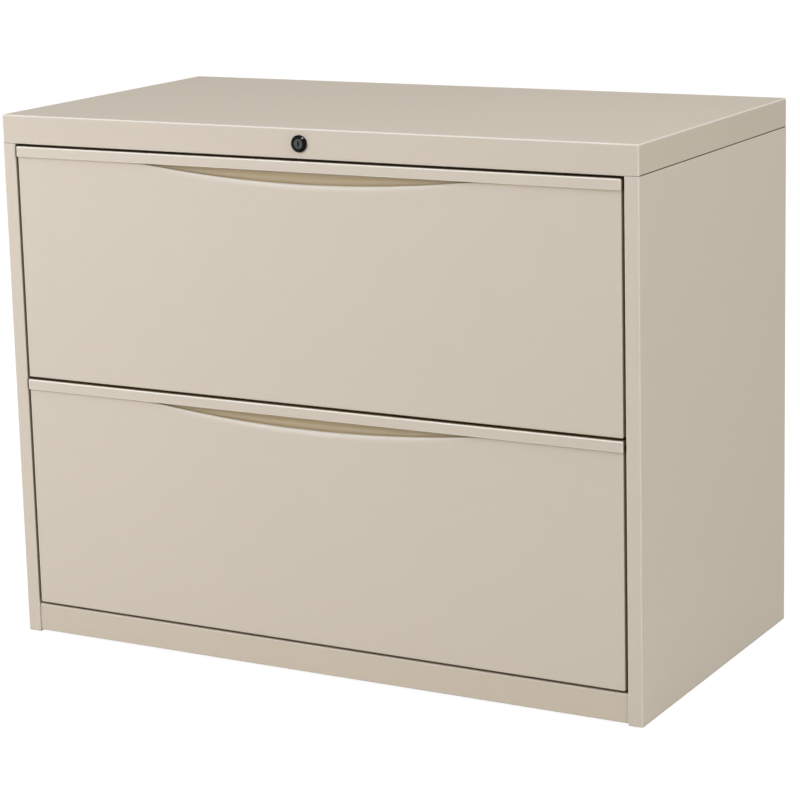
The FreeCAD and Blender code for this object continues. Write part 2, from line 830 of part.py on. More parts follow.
def make_cage(web_x, half_height, ball):
    """Ball cage of the right slide: a folded strip with a pocket for each ball, and its balls."""
    reach = ball_line + ball
    half_sheet = cage_sheet / 2
    top = half_height + half_sheet
    path = [(reach, top), (web_x, top), (web_x, -top), (reach, -top)]
    points, radii = bent(path, cage_sheet)
    placed = [(opening_half - a, b) for a, b in points]
    front = behind(slide_setback + slide_travel * cage_travel_share + cage_front_room)
    cage = along_y(placed, radii, front, front + cage_length)
    pitch = cage_length / balls_per_row
    balls = []
    for row in (-1, 1):
        for step in range(balls_per_row):
            centre = V(opening_half - ball_line, front + pitch / 2 + pitch * step, row * half_height)
            pocket = Part.makeCylinder(ball + pocket_play, 2 * ball, centre - V(0, 0, ball))
            cage = cage.cut(pocket)
            balls.append(Part.makeSphere(ball, centre))
    return [cage] + balls


def make_cages(web_x, half_height, ball, z):
    """The cages and balls of both slides of one drawer."""
    right = make_cage(web_x, half_height, ball)
    pieces = right + [mirrored(piece) for piece in right]
    group = Part.makeCompound(pieces)
    group.translate(V(0, 0, z))
    return group


# Drawers

def recess_space(base, grow):
    """The recess's space turned about its arc's centre, which lies high over the drawer front."""
    strip_bottom = base + front_height - strip_height
    axis_z = strip_bottom - recess_drop + recess_arc
    wall = recess_depth + grow
    floor = recess_arc - recess_lip + grow
    top = recess_arc - recess_drop - strip_height - recess_depth
    lip_radius = recess_lip - grow
    hollow = recess_hollow + grow

    def point(depth, radius):
        return V(0, behind(depth), axis_z - radius)

    slant = math.sqrt(0.5)
    lip_middle = point(recess_lip - lip_radius * slant, recess_arc - lip_radius * slant)
    hollow_middle = point(wall - hollow * (1 - slant), floor - hollow * (1 - slant))
    edges = [Part.LineSegment(point(-overrun, top), point(-overrun, recess_arc)).toShape(),
             Part.LineSegment(point(-overrun, recess_arc), point(grow, recess_arc)).toShape(),
             Part.Arc(point(grow, recess_arc), lip_middle, point(recess_lip, floor)).toShape(),
             Part.LineSegment(point(recess_lip, floor), point(wall - hollow, floor)).toShape(),
             Part.Arc(point(wall - hollow, floor), hollow_middle, point(wall, floor - hollow)).toShape(),
             Part.LineSegment(point(wall, floor - hollow), point(wall, top)).toShape(),
             Part.LineSegment(point(wall, top), point(-overrun, top)).toShape()]
    face = Part.Face(Part.Wire(edges))
    rise = recess_drop + strip_height + recess_lip
    half_sweep = math.degrees(math.acos(1 - rise / recess_arc))
    centre = V(0, 0, axis_z)
    face.rotate(centre, V(0, 1, 0), -half_sweep)
    return face.revolve(centre, V(0, 1, 0), 2 * half_sweep)


def make_drawer_front(base):
    """Front sheet: a box shell, open at the back, with the crescent recess pressed in.

    Its sides and lower edge are rounded. The upper edge, under the pull strip, is a sharp fold,
    notched where the recess passes up through it, so that the strip closes the recess.
    """
    top = base + front_height - strip_sheet
    outside = along_y(rectangle(-front_half, front_half, base, top), [front_corner, front_corner, 0, 0],
                      front_y, behind(front_depth))
    outside = round_edges(outside, front_edge,
                          lambda e: lies_at(e, 1, front_y) and not lies_at(e, 2, top))
    sheet = drawer_sheet
    inner_half, inner_corner = front_half - sheet, front_corner - sheet
    inside = along_y(rectangle(-inner_half, inner_half, base + sheet, top - sheet),
                     [inner_corner, inner_corner, 0, 0], behind(sheet), behind(front_depth) + overrun)
    inside = round_edges(inside, front_edge - sheet,
                         lambda e: lies_at(e, 1, behind(sheet)) and not lies_at(e, 2, top - sheet))
    return outside.cut(recess_space(base, 0)).cut(inside.cut(recess_space(base, sheet)))


def make_pull_strip(base):
    """Cap over the top edge of the front, closed at its ends and stepped proud of the face."""
    top = base + front_height
    low = top - strip_height
    half = front_half + strip_overhang
    face = front_y - strip_proud
    outside = along_z(rectangle(-half, half, face, behind(front_depth)),
                      [strip_corner, strip_corner, 0, 0], low, top)
    outside = round_edges(outside, strip_edge,
                          lambda e: lies_at(e, 2, top) and not lies_at(e, 1, behind(front_depth)))
    front_space = block(-front_half, front_half, face + strip_sheet, front_y,
                        low + strip_sheet, top - strip_sheet)
    rear_space = block(-front_half, front_half, front_y, behind(front_depth) + overrun,
                       low - overrun, top - strip_sheet)
    return outside.cut(front_space).cut(rear_space)


def body_levels(base):
    """The Z of the drawer body's underside and of its upper edge."""
    return base + drawer_floor_rise, base + front_height - drawer_side_drop


def make_liner(base):
    """Sheet that closes the front's back, with a hem over which the folders hook."""
    high = body_levels(base)[1]
    low = base + drawer_sheet
    rear = behind(front_depth)
    path = [(rear - liner_flange, low), (rear, low), (rear, high), (rear - hook_hem_width, high),
            (rear - hook_hem_width, high - hook_hem_drop)]
    points, radii = bent(path, drawer_sheet)
    half = front_half - front_corner
    return along_x(points, radii, -half, half)


def make_drawer_bottom(base):
    """Floor sheet with beads pressed up across its width."""
    floor = body_levels(base)[0] + drawer_sheet
    front = behind(front_depth)
    pitch = (drawer_rear - front) / bead_count
    foot, crown = bead_width / 2, bead_width / 2 - bead_height
    path = [(front, floor)]
    for step in range(bead_count):
        middle = front + pitch * (step + 1 / 2)
        path += [(middle - foot, floor), (middle - crown, floor + bead_height),
                 (middle + crown, floor + bead_height), (middle + foot, floor)]
    path.append((drawer_rear, floor))
    points, radii = bent(path, drawer_sheet)
    half = drawer_inside - inside_bend
    return along_x(points, radii, -half, half)


def rail_places():
    """The Y of the middle of a hanging rail for letter and for legal folders."""
    hook = behind(front_depth - hook_hem_width / 2)
    return hook + letter_span, hook + legal_span


def make_drawer_side(base):
    """Right side sheet, with a foot under the floor and slots along its top flange."""
    low, high = body_levels(base)
    path = [(drawer_half - side_foot, low), (drawer_half, low), (drawer_half, high),
            (drawer_half - side_top_flange, high), (drawer_half - side_top_flange, high - side_hem)]
    points, radii = bent(path, drawer_sheet)
    side = along_y(points, radii, behind(front_depth), drawer_rear)
    half_slot = rail_sheet / 2 + slot_play
    for y in rail_places():
        middle = tooth_middle()
        half_tooth = tooth_width / 2 + slot_play
        slot = block(middle - half_tooth, middle + half_tooth, y - half_slot, y + half_slot,
                     high - overrun, high + overrun)
        side = side.cut(slot)
    return side


def make_strike_side(base):
    """The right side sheet with the strike lanced out of it for the lock rod's finger."""
    side = make_drawer_side(base)
    low = body_levels(base)[0] + strike_rise
    face = behind(rod_setback + link_sheet) + strike_gap
    strike = block(drawer_half - drawer_sheet, drawer_half + strike_reach, face, face + link_sheet,
                   low, low + strike_height)
    strike = round_edges(strike, link_sheet / 3,
                         lambda e: lies_at(e, 0, drawer_half + strike_reach))
    return side.fuse(strike).removeSplitter()


def make_drawer_back(base):
    """Rear sheet of the drawer, with a hem over which legal folders may hook."""
    low, high = body_levels(base)
    low += 2 * drawer_sheet
    hem = drawer_rear - hook_hem_width
    path = [(drawer_rear - back_foot, low), (drawer_rear, low), (drawer_rear, high), (hem, high),
            (hem, high - hook_hem_drop)]
    points, radii = bent(path, drawer_sheet)
    back = along_x(points, radii, -drawer_inside, drawer_inside)
    shoulder = drawer_half - side_top_flange - inside_bend
    for side in (-1, 1):
        edges = sorted((side * shoulder, side * (drawer_half + overrun)))
        notch = block(edges[0], edges[1], drawer_rear - back_foot, drawer_rear + overrun,
                      high - side_hem - inside_bend, high + overrun)
        back = back.cut(notch)
    return back


def tooth_middle():
    """The X of the middle of a hanging rail's tooth."""
    return drawer_half - side_top_flange + drawer_sheet + tooth_width / 2 + rail_side_gap


def make_hang_rail(base):
    """Loose rail across the drawer: its ends rest on the side flanges with a tooth in each slot."""
    high = body_levels(base)[1]
    y = rail_places()[0]
    end = tooth_middle() + tooth_width / 2
    inner = drawer_half - side_top_flange - rail_side_gap
    top = high + rail_over_flange
    low = top - rail_height
    tooth = high - drawer_sheet - tooth_drop
    right = [(inner, low), (inner, high), (end - tooth_width, high), (end - tooth_width, tooth),
             (end, tooth), (end, top)]
    left = [(-a, b) for a, b in reversed(right)]
    points = right + left
    radii = [rail_sheet / 4, 0, 0, rail_sheet / 4, rail_sheet / 4, rail_sheet,
             rail_sheet, rail_sheet / 4, rail_sheet / 4, 0, 0, rail_sheet / 4]
    return along_y(points, radii, y - rail_sheet / 2, y + rail_sheet / 2)


# Assembly

save("top_cover", make_top_cover())
save("right_side_panel", make_locking_side_panel())
save("left_side_panel", mirrored(make_side_panel()))
save("back_panel", make_back_panel())
save("base_front_rail", make_toe_rail())
save("base_rear_rail", make_rear_rail())
save("right_base_channel", make_base_channel())
save("left_base_channel", mirrored(make_base_channel()))
save("counterweight", make_counterweight())
save("right_rear_upright", make_rear_upright())
save("left_rear_upright", mirrored(make_rear_upright()))
save("header_rail", make_header_rail())
save("case_screws", make_case_screws())
save("glide_nuts", make_glide_nuts())
for row_name, row_y in zip(("front", "rear"), glide_rows()):
    save(row_name + "_right_glide", make_glide(glide_x, row_y))
    save(row_name + "_left_glide", make_glide(-glide_x, row_y))

save("lock_housing", make_lock_housing())
save("lock_nut", make_lock_nut())
save("lock_plug", make_lock_plug())
save("lock_cam", make_lock_cam())
save("lock_slide_bar", make_slide_bar())
save("lock_bell_crank", make_bell_crank())
save("lock_rod", make_lock_rod())
save("lock_guides", make_lock_guides())

outer_cage_web = channel_sheet + cage_play
inner_cage_web = middle_web_setback + middle_sheet + cage_play / 2
for drawer_index, drawer in enumerate(drawer_names):
    base_z = drawer_base(drawer_index)
    slide_z = base_z + drawer_floor_rise + slide_rise
    for member, shape in (("slide_channel", make_slide_channel()), ("middle_slide", make_middle_member()),
                          ("runner", make_runner())):
        shape.translate(V(0, 0, slide_z))
        save(drawer + "_right_" + member, shape)
        save(drawer + "_left_" + member, mirrored(shape))
    save(drawer + "_outer_ball_cages", make_cages(outer_cage_web, outer_ball_z, outer_ball, slide_z))
    save(drawer + "_inner_ball_cages", make_cages(inner_cage_web, inner_ball_z, inner_ball, slide_z))
    save(drawer + "_drawer_front", make_drawer_front(base_z))
    save(drawer + "_pull_strip", make_pull_strip(base_z))
    save(drawer + "_front_liner", make_liner(base_z))
    save(drawer + "_drawer_bottom", make_drawer_bottom(base_z))
    save(drawer + "_drawer_right_side", make_strike_side(base_z))
    save(drawer + "_drawer_left_side", mirrored(make_drawer_side(base_z)))
    save(drawer + "_drawer_back", make_drawer_back(base_z))
    save(drawer + "_hang_rail", make_hang_rail(base_z))
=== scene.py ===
"""The looks of a two-drawer lateral filing cabinet of putty-coated sheet steel, in metres.

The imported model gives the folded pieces, and this script gives each of them its finish. It makes
again, at full detail, the pressed drawer fronts, the lock's bezel and barrel, the screws, the
levelling glides and the ball cages. Last come the floor, the lamps and the photograph's view.
"""
import json
import math

import bpy
import numpy as np
from mathutils import Matrix, Vector


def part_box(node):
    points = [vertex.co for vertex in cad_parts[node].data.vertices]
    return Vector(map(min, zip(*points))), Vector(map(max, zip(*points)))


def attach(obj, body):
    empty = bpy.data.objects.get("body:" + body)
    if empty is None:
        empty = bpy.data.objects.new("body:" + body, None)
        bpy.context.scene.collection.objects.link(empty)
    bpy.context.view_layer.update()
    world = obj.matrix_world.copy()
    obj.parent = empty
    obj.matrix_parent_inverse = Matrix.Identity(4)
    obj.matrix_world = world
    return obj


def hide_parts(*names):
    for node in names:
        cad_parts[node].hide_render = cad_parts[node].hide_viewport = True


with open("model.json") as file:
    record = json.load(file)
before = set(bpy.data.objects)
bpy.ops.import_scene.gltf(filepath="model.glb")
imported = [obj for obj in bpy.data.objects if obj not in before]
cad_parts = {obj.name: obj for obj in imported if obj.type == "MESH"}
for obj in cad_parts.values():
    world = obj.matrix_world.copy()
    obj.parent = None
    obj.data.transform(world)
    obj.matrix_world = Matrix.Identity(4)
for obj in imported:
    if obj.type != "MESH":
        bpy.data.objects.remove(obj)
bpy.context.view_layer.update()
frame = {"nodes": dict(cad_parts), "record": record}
scene = bpy.context.scene

# Finishes, floor and room, as linear colours
putty = (0.605, 0.548, 0.466)
# Painted shade: the toe rail's putty, darker and warmer as the bottom of the case gets less light
putty_toe_shaded = (0.585, 0.517, 0.426)
putty_thin = (0.585, 0.53, 0.45)
putty_inner = (0.54, 0.488, 0.414)
dust_pale = (0.62, 0.575, 0.505)
# Painted shade: the dark brown where pieces nearly meet
painted_gap_shade = (0.16, 0.105, 0.035)
# Painted shade: the tan in the drawer fronts' recesses and along their strips' seams
painted_recess_shade = (0.565, 0.438, 0.218)
zinc_cool = (0.60, 0.62, 0.645)
zinc_warm = (0.66, 0.64, 0.59)
black_gloss = (0.003, 0.003, 0.0033)
black_satin = (0.048, 0.048, 0.05)
# Painted shade inside the keyhole
painted_keyhole_shade = (0.003, 0.003, 0.003)
black_oxide = (0.05, 0.05, 0.052)
casting_dip = (0.085, 0.085, 0.09)
nylon_natural = (0.7, 0.68, 0.62)
iron_rust = (0.13, 0.07, 0.04)
iron_rubbed_and_lit = (0.22, 0.215, 0.21)
floor_paint = (0.62, 0.59, 0.54)
room_warm = (1.0, 0.99, 0.965)
white = (1.0, 1.0, 1.0)

# How near a neighbour brings painted shade into a finish, and how wide the worn edges with their
# painted highlight are
gap_reach = 0.006
pocket_reach = 0.016
keyhole_reach = 0.003
coat_rub_and_highlight_radius = 0.0012
iron_rub_and_highlight_radius = 0.0009

# Noise scales of the finishes, in features a metre
mottle_scale = 3.2
dust_scale = 9.0
cloud_scale = 22.0
zinc_patch_scale = 28.0
rub_and_highlight_scale = 55.0
rust_scale = 60.0
wear_scale = 120.0
coarse_peel_scale = 190.0
peel_scale = 620.0
wobble_scale = 900.0
speck_scale = 1500.0
zinc_line_scale = 2200.0

# How the finishes' masks change the painted tan shade and roughness
seam_gain = 1.3
rub_smoothing = 0.1
dust_dulling = 0.35
ring_unevenness = 0.05
keyhole_dulling = 0.6

# Heights of the finishes' bumps, and the pitch of the plug face's turning rings
coat_peel = 0.00002
coarse_peel_share = 0.8
zinc_line_height = 0.000004
enamel_peel = 0.000001
nylon_grain = 0.000012
ring_height = 0.000002
ring_pitch = 0.0003

# Turned and threaded shapes
crease_angle = math.radians(32)
rings_per_pitch = 8

# Screws of the back panel
screw_head_radius = 0.0042
screw_head_height = 0.0022
screw_shank_radius = 0.002
screw_length = 0.008
screw_pitch = 0.0014
screw_thread_depth = 0.00035
screw_run_out = 0.0012
screw_rows = 4
screw_columns = 48
screw_shank_rings = 60
# Rings of the head: from one share of its radius to another, and how many
screw_inner_rings = (0.02, 0.62, 16)
screw_outer_rings = (0.68, 1.0, 10)
dome_fall = 0.55
dome_power = 3.2
cross_arm = 0.0024
cross_width = 0.00055
cross_depth = 0.0012
cross_side_slope = 0.35
cross_end_slope = 0.5

# Levelling glides
glide_columns = 48
glide_stem_columns = 24
glide_foot_height = 0.006
foot_steps = 7
foot_flat_inset = 0.0025
foot_round = 0.001
foot_wall_top = 0.0026
foot_shoulder = 0.0015
foot_shoulder_rise = 0.0014
foot_dish_share = 0.66
foot_dish_height = 0.0046
foot_neck_share = 0.52
glide_hex_across = 0.013
glide_hex_top = 0.0127
glide_chamfer = 0.0008
glide_stem_radius = 0.004
glide_pitch = 0.00125
glide_thread_depth = 0.0006
glide_run_out = 0.0015

# Ball cages of the slides
ball_line = 0.00635
cage_sheet = 0.0006
cage_bend = 0.0008
cage_bend_steps = 6
ball_pitch = 0.0112
ball_rings = 7
ball_columns = 8
outer_ball = 0.002
inner_ball = 0.0018

# Lock, as it is turned
lock_columns = 96
lock_proud = 0.0045
lock_barrel = 0.0095
lock_flat = 0.008
lock_pitch = 0.0015
lock_thread_depth = 0.0005
lock_bore = 0.00655
lock_mouth = 0.0073
lock_lip = 0.0003
lock_face_depth = 0.0011
bezel_round = 0.0006
bezel_cone = math.radians(32)
bezel_steps = 6
lock_lip_steps = 4

# Drawer fronts, as they are pressed: the recess's lip is recess_lip deep and recess_lip_rise high,
# and at its tips the recess keeps the tip share of its depth
front_sheet = 0.001
front_edge = 0.002
strip_height = 0.0134
strip_sheet = 0.0012
recess_arc = 1.88
recess_drop = 0.025
recess_lip = 0.005
recess_lip_rise = 0.009
recess_depth = 0.015
recess_hollow = 0.007
recess_tip_share = 0.08
front_margin = 0.0005
front_columns = 240
front_rows = 8
lip_steps = 12
edge_steps = 7
corner_steps = 6

# Camera, solved from the case's corners in the photograph
view_sensor_mm = 36.0
view_clip_end = 100.0
view_focal_px = 2666.0
view_frame_px = 800.0
view_shift_px = -80.0
view_yaw = math.radians(29.253)
view_pitch = math.radians(11.419)
view_roll = math.radians(-1.437)
view_place = (1.7031, -3.0329, 1.1278)

# Floor and room: the floor glows where it is seen, and the room is dimmer than it looks
floor_half = 30.0
floor_glow = 1.19
floor_glow_share = 0.8
room_light = 0.56
cabinet_middle = (0.0, 0.0, 0.36)


# Surfaces

def faces_of_grid(rows, columns):
    """Quads between the rows of a grid whose last column meets its first, faces outwards when the
    rows climb the axis and the columns turn anticlockwise about it."""
    row, column = np.meshgrid(np.arange(rows - 1), np.arange(columns), indexing="ij")
    here = row * columns + column
    beside = row * columns + (column + 1) % columns
    return np.stack([here, beside, beside + columns, here + columns], axis=-1).reshape(-1, 4)


def turned_grid(radii, heights, columns):
    """Points of a surface of revolution: ring i has radius radii[i] at height heights[i], and the
    columns stand at equal angles. A radius may also be given for each column."""
    angle = np.arange(columns) * 2 * math.pi / columns
    radius = np.asarray(radii, float)
    if radius.ndim == 1:
        radius = radius[:, None] * np.ones(columns)
    height = np.broadcast_to(np.asarray(heights, float).reshape(len(radius), -1), radius.shape)
    return np.stack([radius * np.cos(angle), radius * np.sin(angle), height], axis=-1)


def closed_turning(radii, heights, columns):
    """A turned surface closed at both ends: the grid's rings, and a fan to a pole at each end."""
    points = turned_grid(radii, heights, columns)
    rows = len(points)
    poles = [[0, 0, points[0, :, 2].mean()], [0, 0, points[-1, :, 2].mean()]]
    vertices = np.concatenate([points.reshape(-1, 3), poles])
    column = np.arange(columns)
    following = (column + 1) % columns
    last = (rows - 1) * columns
    first_pole = np.full(columns, rows * columns)
    low = np.stack([following, column, first_pole], axis=-1)
    high = np.stack([last + column, last + following, first_pole + 1], axis=-1)
    return vertices, faces_of_grid(rows, columns).tolist() + low.tolist() + high.tolist()


def thread_radii(radius, depth, pitch, heights, columns, run_out):
    """Radius of a right-hand screw thread: a triangle wave of depth over height / pitch minus the
    angle's share of a turn, faded to the root within run_out of each end."""
    angle_share = np.arange(columns) / columns
    phase = heights[:, None] / pitch - angle_share
    ridge = 1 - np.abs(2 * (phase - np.floor(phase)) - 1)
    fade = np.minimum(heights - heights[0], heights[-1] - heights) / run_out
    return radius - depth + depth * ridge * np.clip(fade, 0, 1)[:, None]


def joined(shells):
    """Several shells as one list of vertices and faces."""
    vertices, faces, count = [], [], 0
    for points, polygons in shells:
        vertices.append(np.asarray(points, float))
        faces += [[index + count for index in polygon] for polygon in polygons]
        count += len(points)
    return np.concatenate(vertices), faces


def placed(shell, matrix):
    """A shell with its points moved by a matrix that keeps its handedness."""
    points, faces = shell
    turn = np.array(matrix.to_3x3())
    return points @ turn.T + np.array(matrix.translation), faces


def piece(name, shell, finish, body, node):
    """An object at the origin from a shell, smooth but for creases, riding on a body and standing
    for its node."""
    points, faces = shell
    mesh = bpy.data.meshes.new(name)
    mesh.from_pydata(points.tolist(), [], faces)
    mesh.validate()
    mesh.polygons.foreach_set("use_smooth", np.ones(len(mesh.polygons), bool))
    mesh.set_sharp_from_angle(angle=crease_angle)
    mesh.materials.append(finish)
    made = bpy.data.objects.new(name, mesh)
    scene.collection.objects.link(made)
    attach(made, body)
    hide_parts(node)


# Nodes

def fill(tree, sockets, values):
    """Wires each named socket to the socket it is given, or writes the plain value on it."""
    for name, value in values.items():
        if isinstance(value, bpy.types.NodeSocket):
            tree.links.new(value, sockets[name])
        else:
            sockets[name].default_value = value


def add(tree, kind, inputs=None, **settings):
    """A new shader node with its settings, its inputs wired where a socket is given and set where
    a value is."""
    made = tree.nodes.new("ShaderNode" + kind)
    for name, value in settings.items():
        setattr(made, name, value)
    fill(tree, made.inputs, inputs or {})
    return made


def reckon(tree, operation, first, second):
    """The output of one Math node over two values or sockets."""
    return add(tree, "Math", {0: first, 1: second}, operation=operation).outputs[0]


def blended(tree, share, first, second):
    """The colour between two colours at a share."""
    mix = add(tree, "Mix", {0: share, 6: first, 7: second}, data_type="RGBA")
    return mix.outputs[2]


def noise(tree, place, scale, detail=2.0, roughness=0.5):
    """A noise value about 0.5 with features about 1 / scale metres across."""
    made = add(tree, "TexNoise", {"Vector": place, "Scale": scale, "Detail": detail,
                                  "Roughness": roughness})
    return made.outputs[0]


def ramp(tree, value, low, high, low_out=0.0, high_out=1.0):
    """A smooth step of a value from low to high."""
    made = add(tree, "MapRange", {"Value": value, "From Min": low, "From Max": high,
                                  "To Min": low_out, "To Max": high_out},
               interpolation_type="SMOOTHSTEP")
    return made.outputs[0]


def group(name, inputs, outputs):
    """An empty node group with named sockets: each input is (name, kind, default)."""
    tree = bpy.data.node_groups.new(name, "ShaderNodeTree")
    for label, kind, default in inputs:
        socket = tree.interface.new_socket(label, in_out="INPUT", socket_type="NodeSocket" + kind)
        socket.default_value = default
    for label, kind in outputs:
        tree.interface.new_socket(label, in_out="OUTPUT", socket_type="NodeSocket" + kind)
    given = tree.nodes.new("NodeGroupInput").outputs
    result = tree.nodes.new("NodeGroupOutput").inputs
    return tree, given, result


def use(tree, shared, **values):
    """The outputs of a shared group placed in a material with its own values."""
    made = tree.nodes.new("ShaderNodeGroup")
    made.node_tree = shared
    fill(tree, made.inputs, values)
    return made.outputs


def powder_skin_group():
    """Powder coat: slow mottle and fine specks in the colour, cloudy gloss, and orange peel."""
    tree, given, result = group(
        "powder skin",
        [("Color", "Color", (0.5, 0.5, 0.5, 1.0)), ("Mottle", "Float", 0.03),
         ("Speck", "Float", 0.02), ("Roughness", "Float", 0.45), ("Cloud", "Float", 0.06)],
        [("Color", "Color"), ("Roughness", "Float"), ("Height", "Float")])
    place = add(tree, "TexCoord").outputs["Object"]
    slow = reckon(tree, "SUBTRACT", noise(tree, place, mottle_scale, detail=3.0), 0.5)
    fine = reckon(tree, "SUBTRACT", noise(tree, place, speck_scale, detail=1.0), 0.5)
    slow_part = reckon(tree, "MULTIPLY", slow, given["Mottle"])
    fine_part = reckon(tree, "MULTIPLY", fine, given["Speck"])
    gain = reckon(tree, "ADD", 1.0, reckon(tree, "ADD", slow_part, fine_part))
    colour = add(tree, "VectorMath", {0: given["Color"], "Scale": gain}, operation="SCALE")
    clouds = noise(tree, place, cloud_scale, detail=4.0, roughness=0.6)
    cloud = reckon(tree, "SUBTRACT", clouds, 0.5)
    cloud_part = reckon(tree, "MULTIPLY", cloud, given["Cloud"])
    coarse_peel = reckon(tree, "MULTIPLY", noise(tree, place, coarse_peel_scale, detail=1.0),
                         coarse_peel_share)
    peel = reckon(tree, "ADD", noise(tree, place, peel_scale, detail=1.0), coarse_peel)
    tree.links.new(colour.outputs["Vector"], result["Color"])
    tree.links.new(reckon(tree, "ADD", given["Roughness"], cloud_part), result["Roughness"])
    tree.links.new(peel, result["Height"])
    return tree


def edge_rub_and_highlight_group():
    """Mask of the folds and edges that hands and cloths wear, paled also as a painted highlight:
    where the surface looks along none of the three axes, most where it looks up, or where the
    bevelled normal leaves the face's own; broken up by noise."""
    tree, given, result = group(
        "edge rub", [("Radius", "Float", coat_rub_and_highlight_radius), ("Amount", "Float", 1.0)],
        [("Mask", "Float")])
    rounded = add(tree, "Bevel", {"Radius": given["Radius"]}, samples=4).outputs[0]
    facing = add(tree, "NewGeometry").outputs["Normal"]
    likeness = add(tree, "VectorMath", {0: rounded, 1: facing},
                   operation="DOT_PRODUCT").outputs["Value"]
    unsigned = add(tree, "VectorMath", {0: facing}, operation="ABSOLUTE").outputs[0]
    parts = add(tree, "SeparateXYZ", {0: unsigned}).outputs
    squareness = reckon(tree, "MAXIMUM", parts["X"],
                        reckon(tree, "MAXIMUM", parts["Y"], parts["Z"]))
    upward = ramp(tree, add(tree, "SeparateXYZ", {0: facing}).outputs["Z"], 0.0, 0.35,
                  low_out=0.8)
    fold = reckon(tree, "MULTIPLY", ramp(tree, squareness, 0.99, 0.86), upward)
    bent = reckon(tree, "MAXIMUM", ramp(tree, likeness, 0.999, 0.93), fold)
    place = add(tree, "TexCoord").outputs["Object"]
    broken = ramp(tree, noise(tree, place, rub_and_highlight_scale, detail=3.0, roughness=0.65), 0.3, 0.6,
                  low_out=0.75)
    mask = reckon(tree, "MULTIPLY", reckon(tree, "MULTIPLY", bent, broken), given["Amount"])
    tree.links.new(mask, result["Mask"])
    return tree


def dust_fall_group():
    """Mask of the thin dust that lies on faces that look up."""
    tree, given, result = group(
        "dust fall", [("Amount", "Float", 0.2)], [("Mask", "Float")])
    up = add(tree, "SeparateXYZ", {0: add(tree, "NewGeometry").outputs["True Normal"]}).outputs["Z"]
    place = add(tree, "TexCoord").outputs["Object"]
    drift = ramp(tree, noise(tree, place, dust_scale, detail=5.0, roughness=0.6), 0.25, 0.75,
                 low_out=0.5)
    lying = reckon(tree, "MULTIPLY", ramp(tree, up, 0.7, 1.0), drift)
    tree.links.new(reckon(tree, "MULTIPLY", lying, given["Amount"]), result["Mask"])
    return tree


def closeness_group(name, own_only, open_share, closed_share):
    """Mask of painted shade, where little light reaches: nought where more than one share of
    the half space within the distance is open, and one where less than the other is."""
    tree, given, result = group(
        name, [("Distance", "Float", gap_reach), ("Amount", "Float", 1.0)], [("Mask", "Float")])
    around = add(tree, "AmbientOcclusion", {"Distance": given["Distance"]}, samples=6,
                 only_local=own_only)
    mask = reckon(tree, "MULTIPLY", ramp(tree, around.outputs["AO"], open_share, closed_share),
                  given["Amount"])
    tree.links.new(mask, result["Mask"])
    return tree


def rolled_zinc_group():
    """Zinc plate on rolled strip: fine lines along Y, patches of cool and warm passivation."""
    tree, given, result = group(
        "rolled zinc",
        [("Cool", "Color", (0.6, 0.6, 0.6, 1.0)), ("Warm", "Color", (0.6, 0.6, 0.6, 1.0)),
         ("Roughness", "Float", 0.32), ("Lines", "Float", 0.12)],
        [("Color", "Color"), ("Roughness", "Float"), ("Height", "Float")])
    place = add(tree, "TexCoord").outputs["Object"]
    drawn = add(tree, "Mapping", {"Vector": place, "Scale": (1.0, 0.03, 1.0)}).outputs[0]
    lines = noise(tree, drawn, zinc_line_scale, detail=3.0, roughness=0.6)
    patches = ramp(tree, noise(tree, place, zinc_patch_scale, detail=4.0, roughness=0.6), 0.35,
                   0.68)
    colour = blended(tree, patches, given["Cool"], given["Warm"])
    uneven = reckon(tree, "MULTIPLY", reckon(tree, "SUBTRACT", lines, 0.5), given["Lines"])
    tree.links.new(colour, result["Color"])
    tree.links.new(reckon(tree, "ADD", given["Roughness"], uneven), result["Roughness"])
    tree.links.new(lines, result["Height"])
    return tree


def hairline_group():
    """Mask of fine hairlines from cloths and keys: thin bands of two stretched, bent waves."""
    tree, given, result = group(
        "hairlines", [("Scale", "Float", 300.0), ("Amount", "Float", 0.3)], [("Mask", "Float")])
    place = add(tree, "TexCoord").outputs["Object"]
    lines = []
    for turn in (0.35, -0.8):
        across = add(tree, "Mapping", {"Vector": place, "Rotation": (0.3, turn, turn)}).outputs[0]
        wave = add(tree, "TexWave", {"Vector": across, "Scale": given["Scale"],
                                     "Distortion": 6.0, "Detail": 2.0, "Detail Scale": 0.4})
        lines.append(ramp(tree, wave.outputs[1], 0.965, 0.995))
    worn = ramp(tree, noise(tree, place, wear_scale), 0.45, 0.65)
    mask = reckon(tree, "MULTIPLY", reckon(tree, "MAXIMUM", lines[0], lines[1]), worn)
    tree.links.new(reckon(tree, "MULTIPLY", mask, given["Amount"]), result["Mask"])
    return tree


powder_skin = powder_skin_group()
edge_rub_and_highlight = edge_rub_and_highlight_group()
# Masks of painted shade: near other pieces, and inside a piece's own hollows
gap_shade = closeness_group("gap shade", own_only=False, open_share=0.96, closed_share=0.52)
pocket_shade = closeness_group("pocket shade", own_only=True, open_share=0.97, closed_share=0.78)
dust_fall = dust_fall_group()
rolled_zinc = rolled_zinc_group()
hairlines = hairline_group()


def opaque(colour):
    """A linear colour with full alpha."""
    return (*colour, 1.0)


def finish_named(name):
    """A new material with its node tree and its shader."""
    made = bpy.data.materials.new(name)
    made.use_nodes = True
    return made, made.node_tree, made.node_tree.nodes["Principled BSDF"]


def feed(tree, shader, **sources):
    """Fills the shader's inputs, whose names are given with underscores for their spaces."""
    fill(tree, shader.inputs, {name.replace("_", " "): value for name, value in sources.items()})


def bumped(tree, height, distance):
    """The normal of a surface with a height of this distance."""
    return add(tree, "Bump", {"Height": height, "Distance": distance, "Strength": 1.0}).outputs[0]


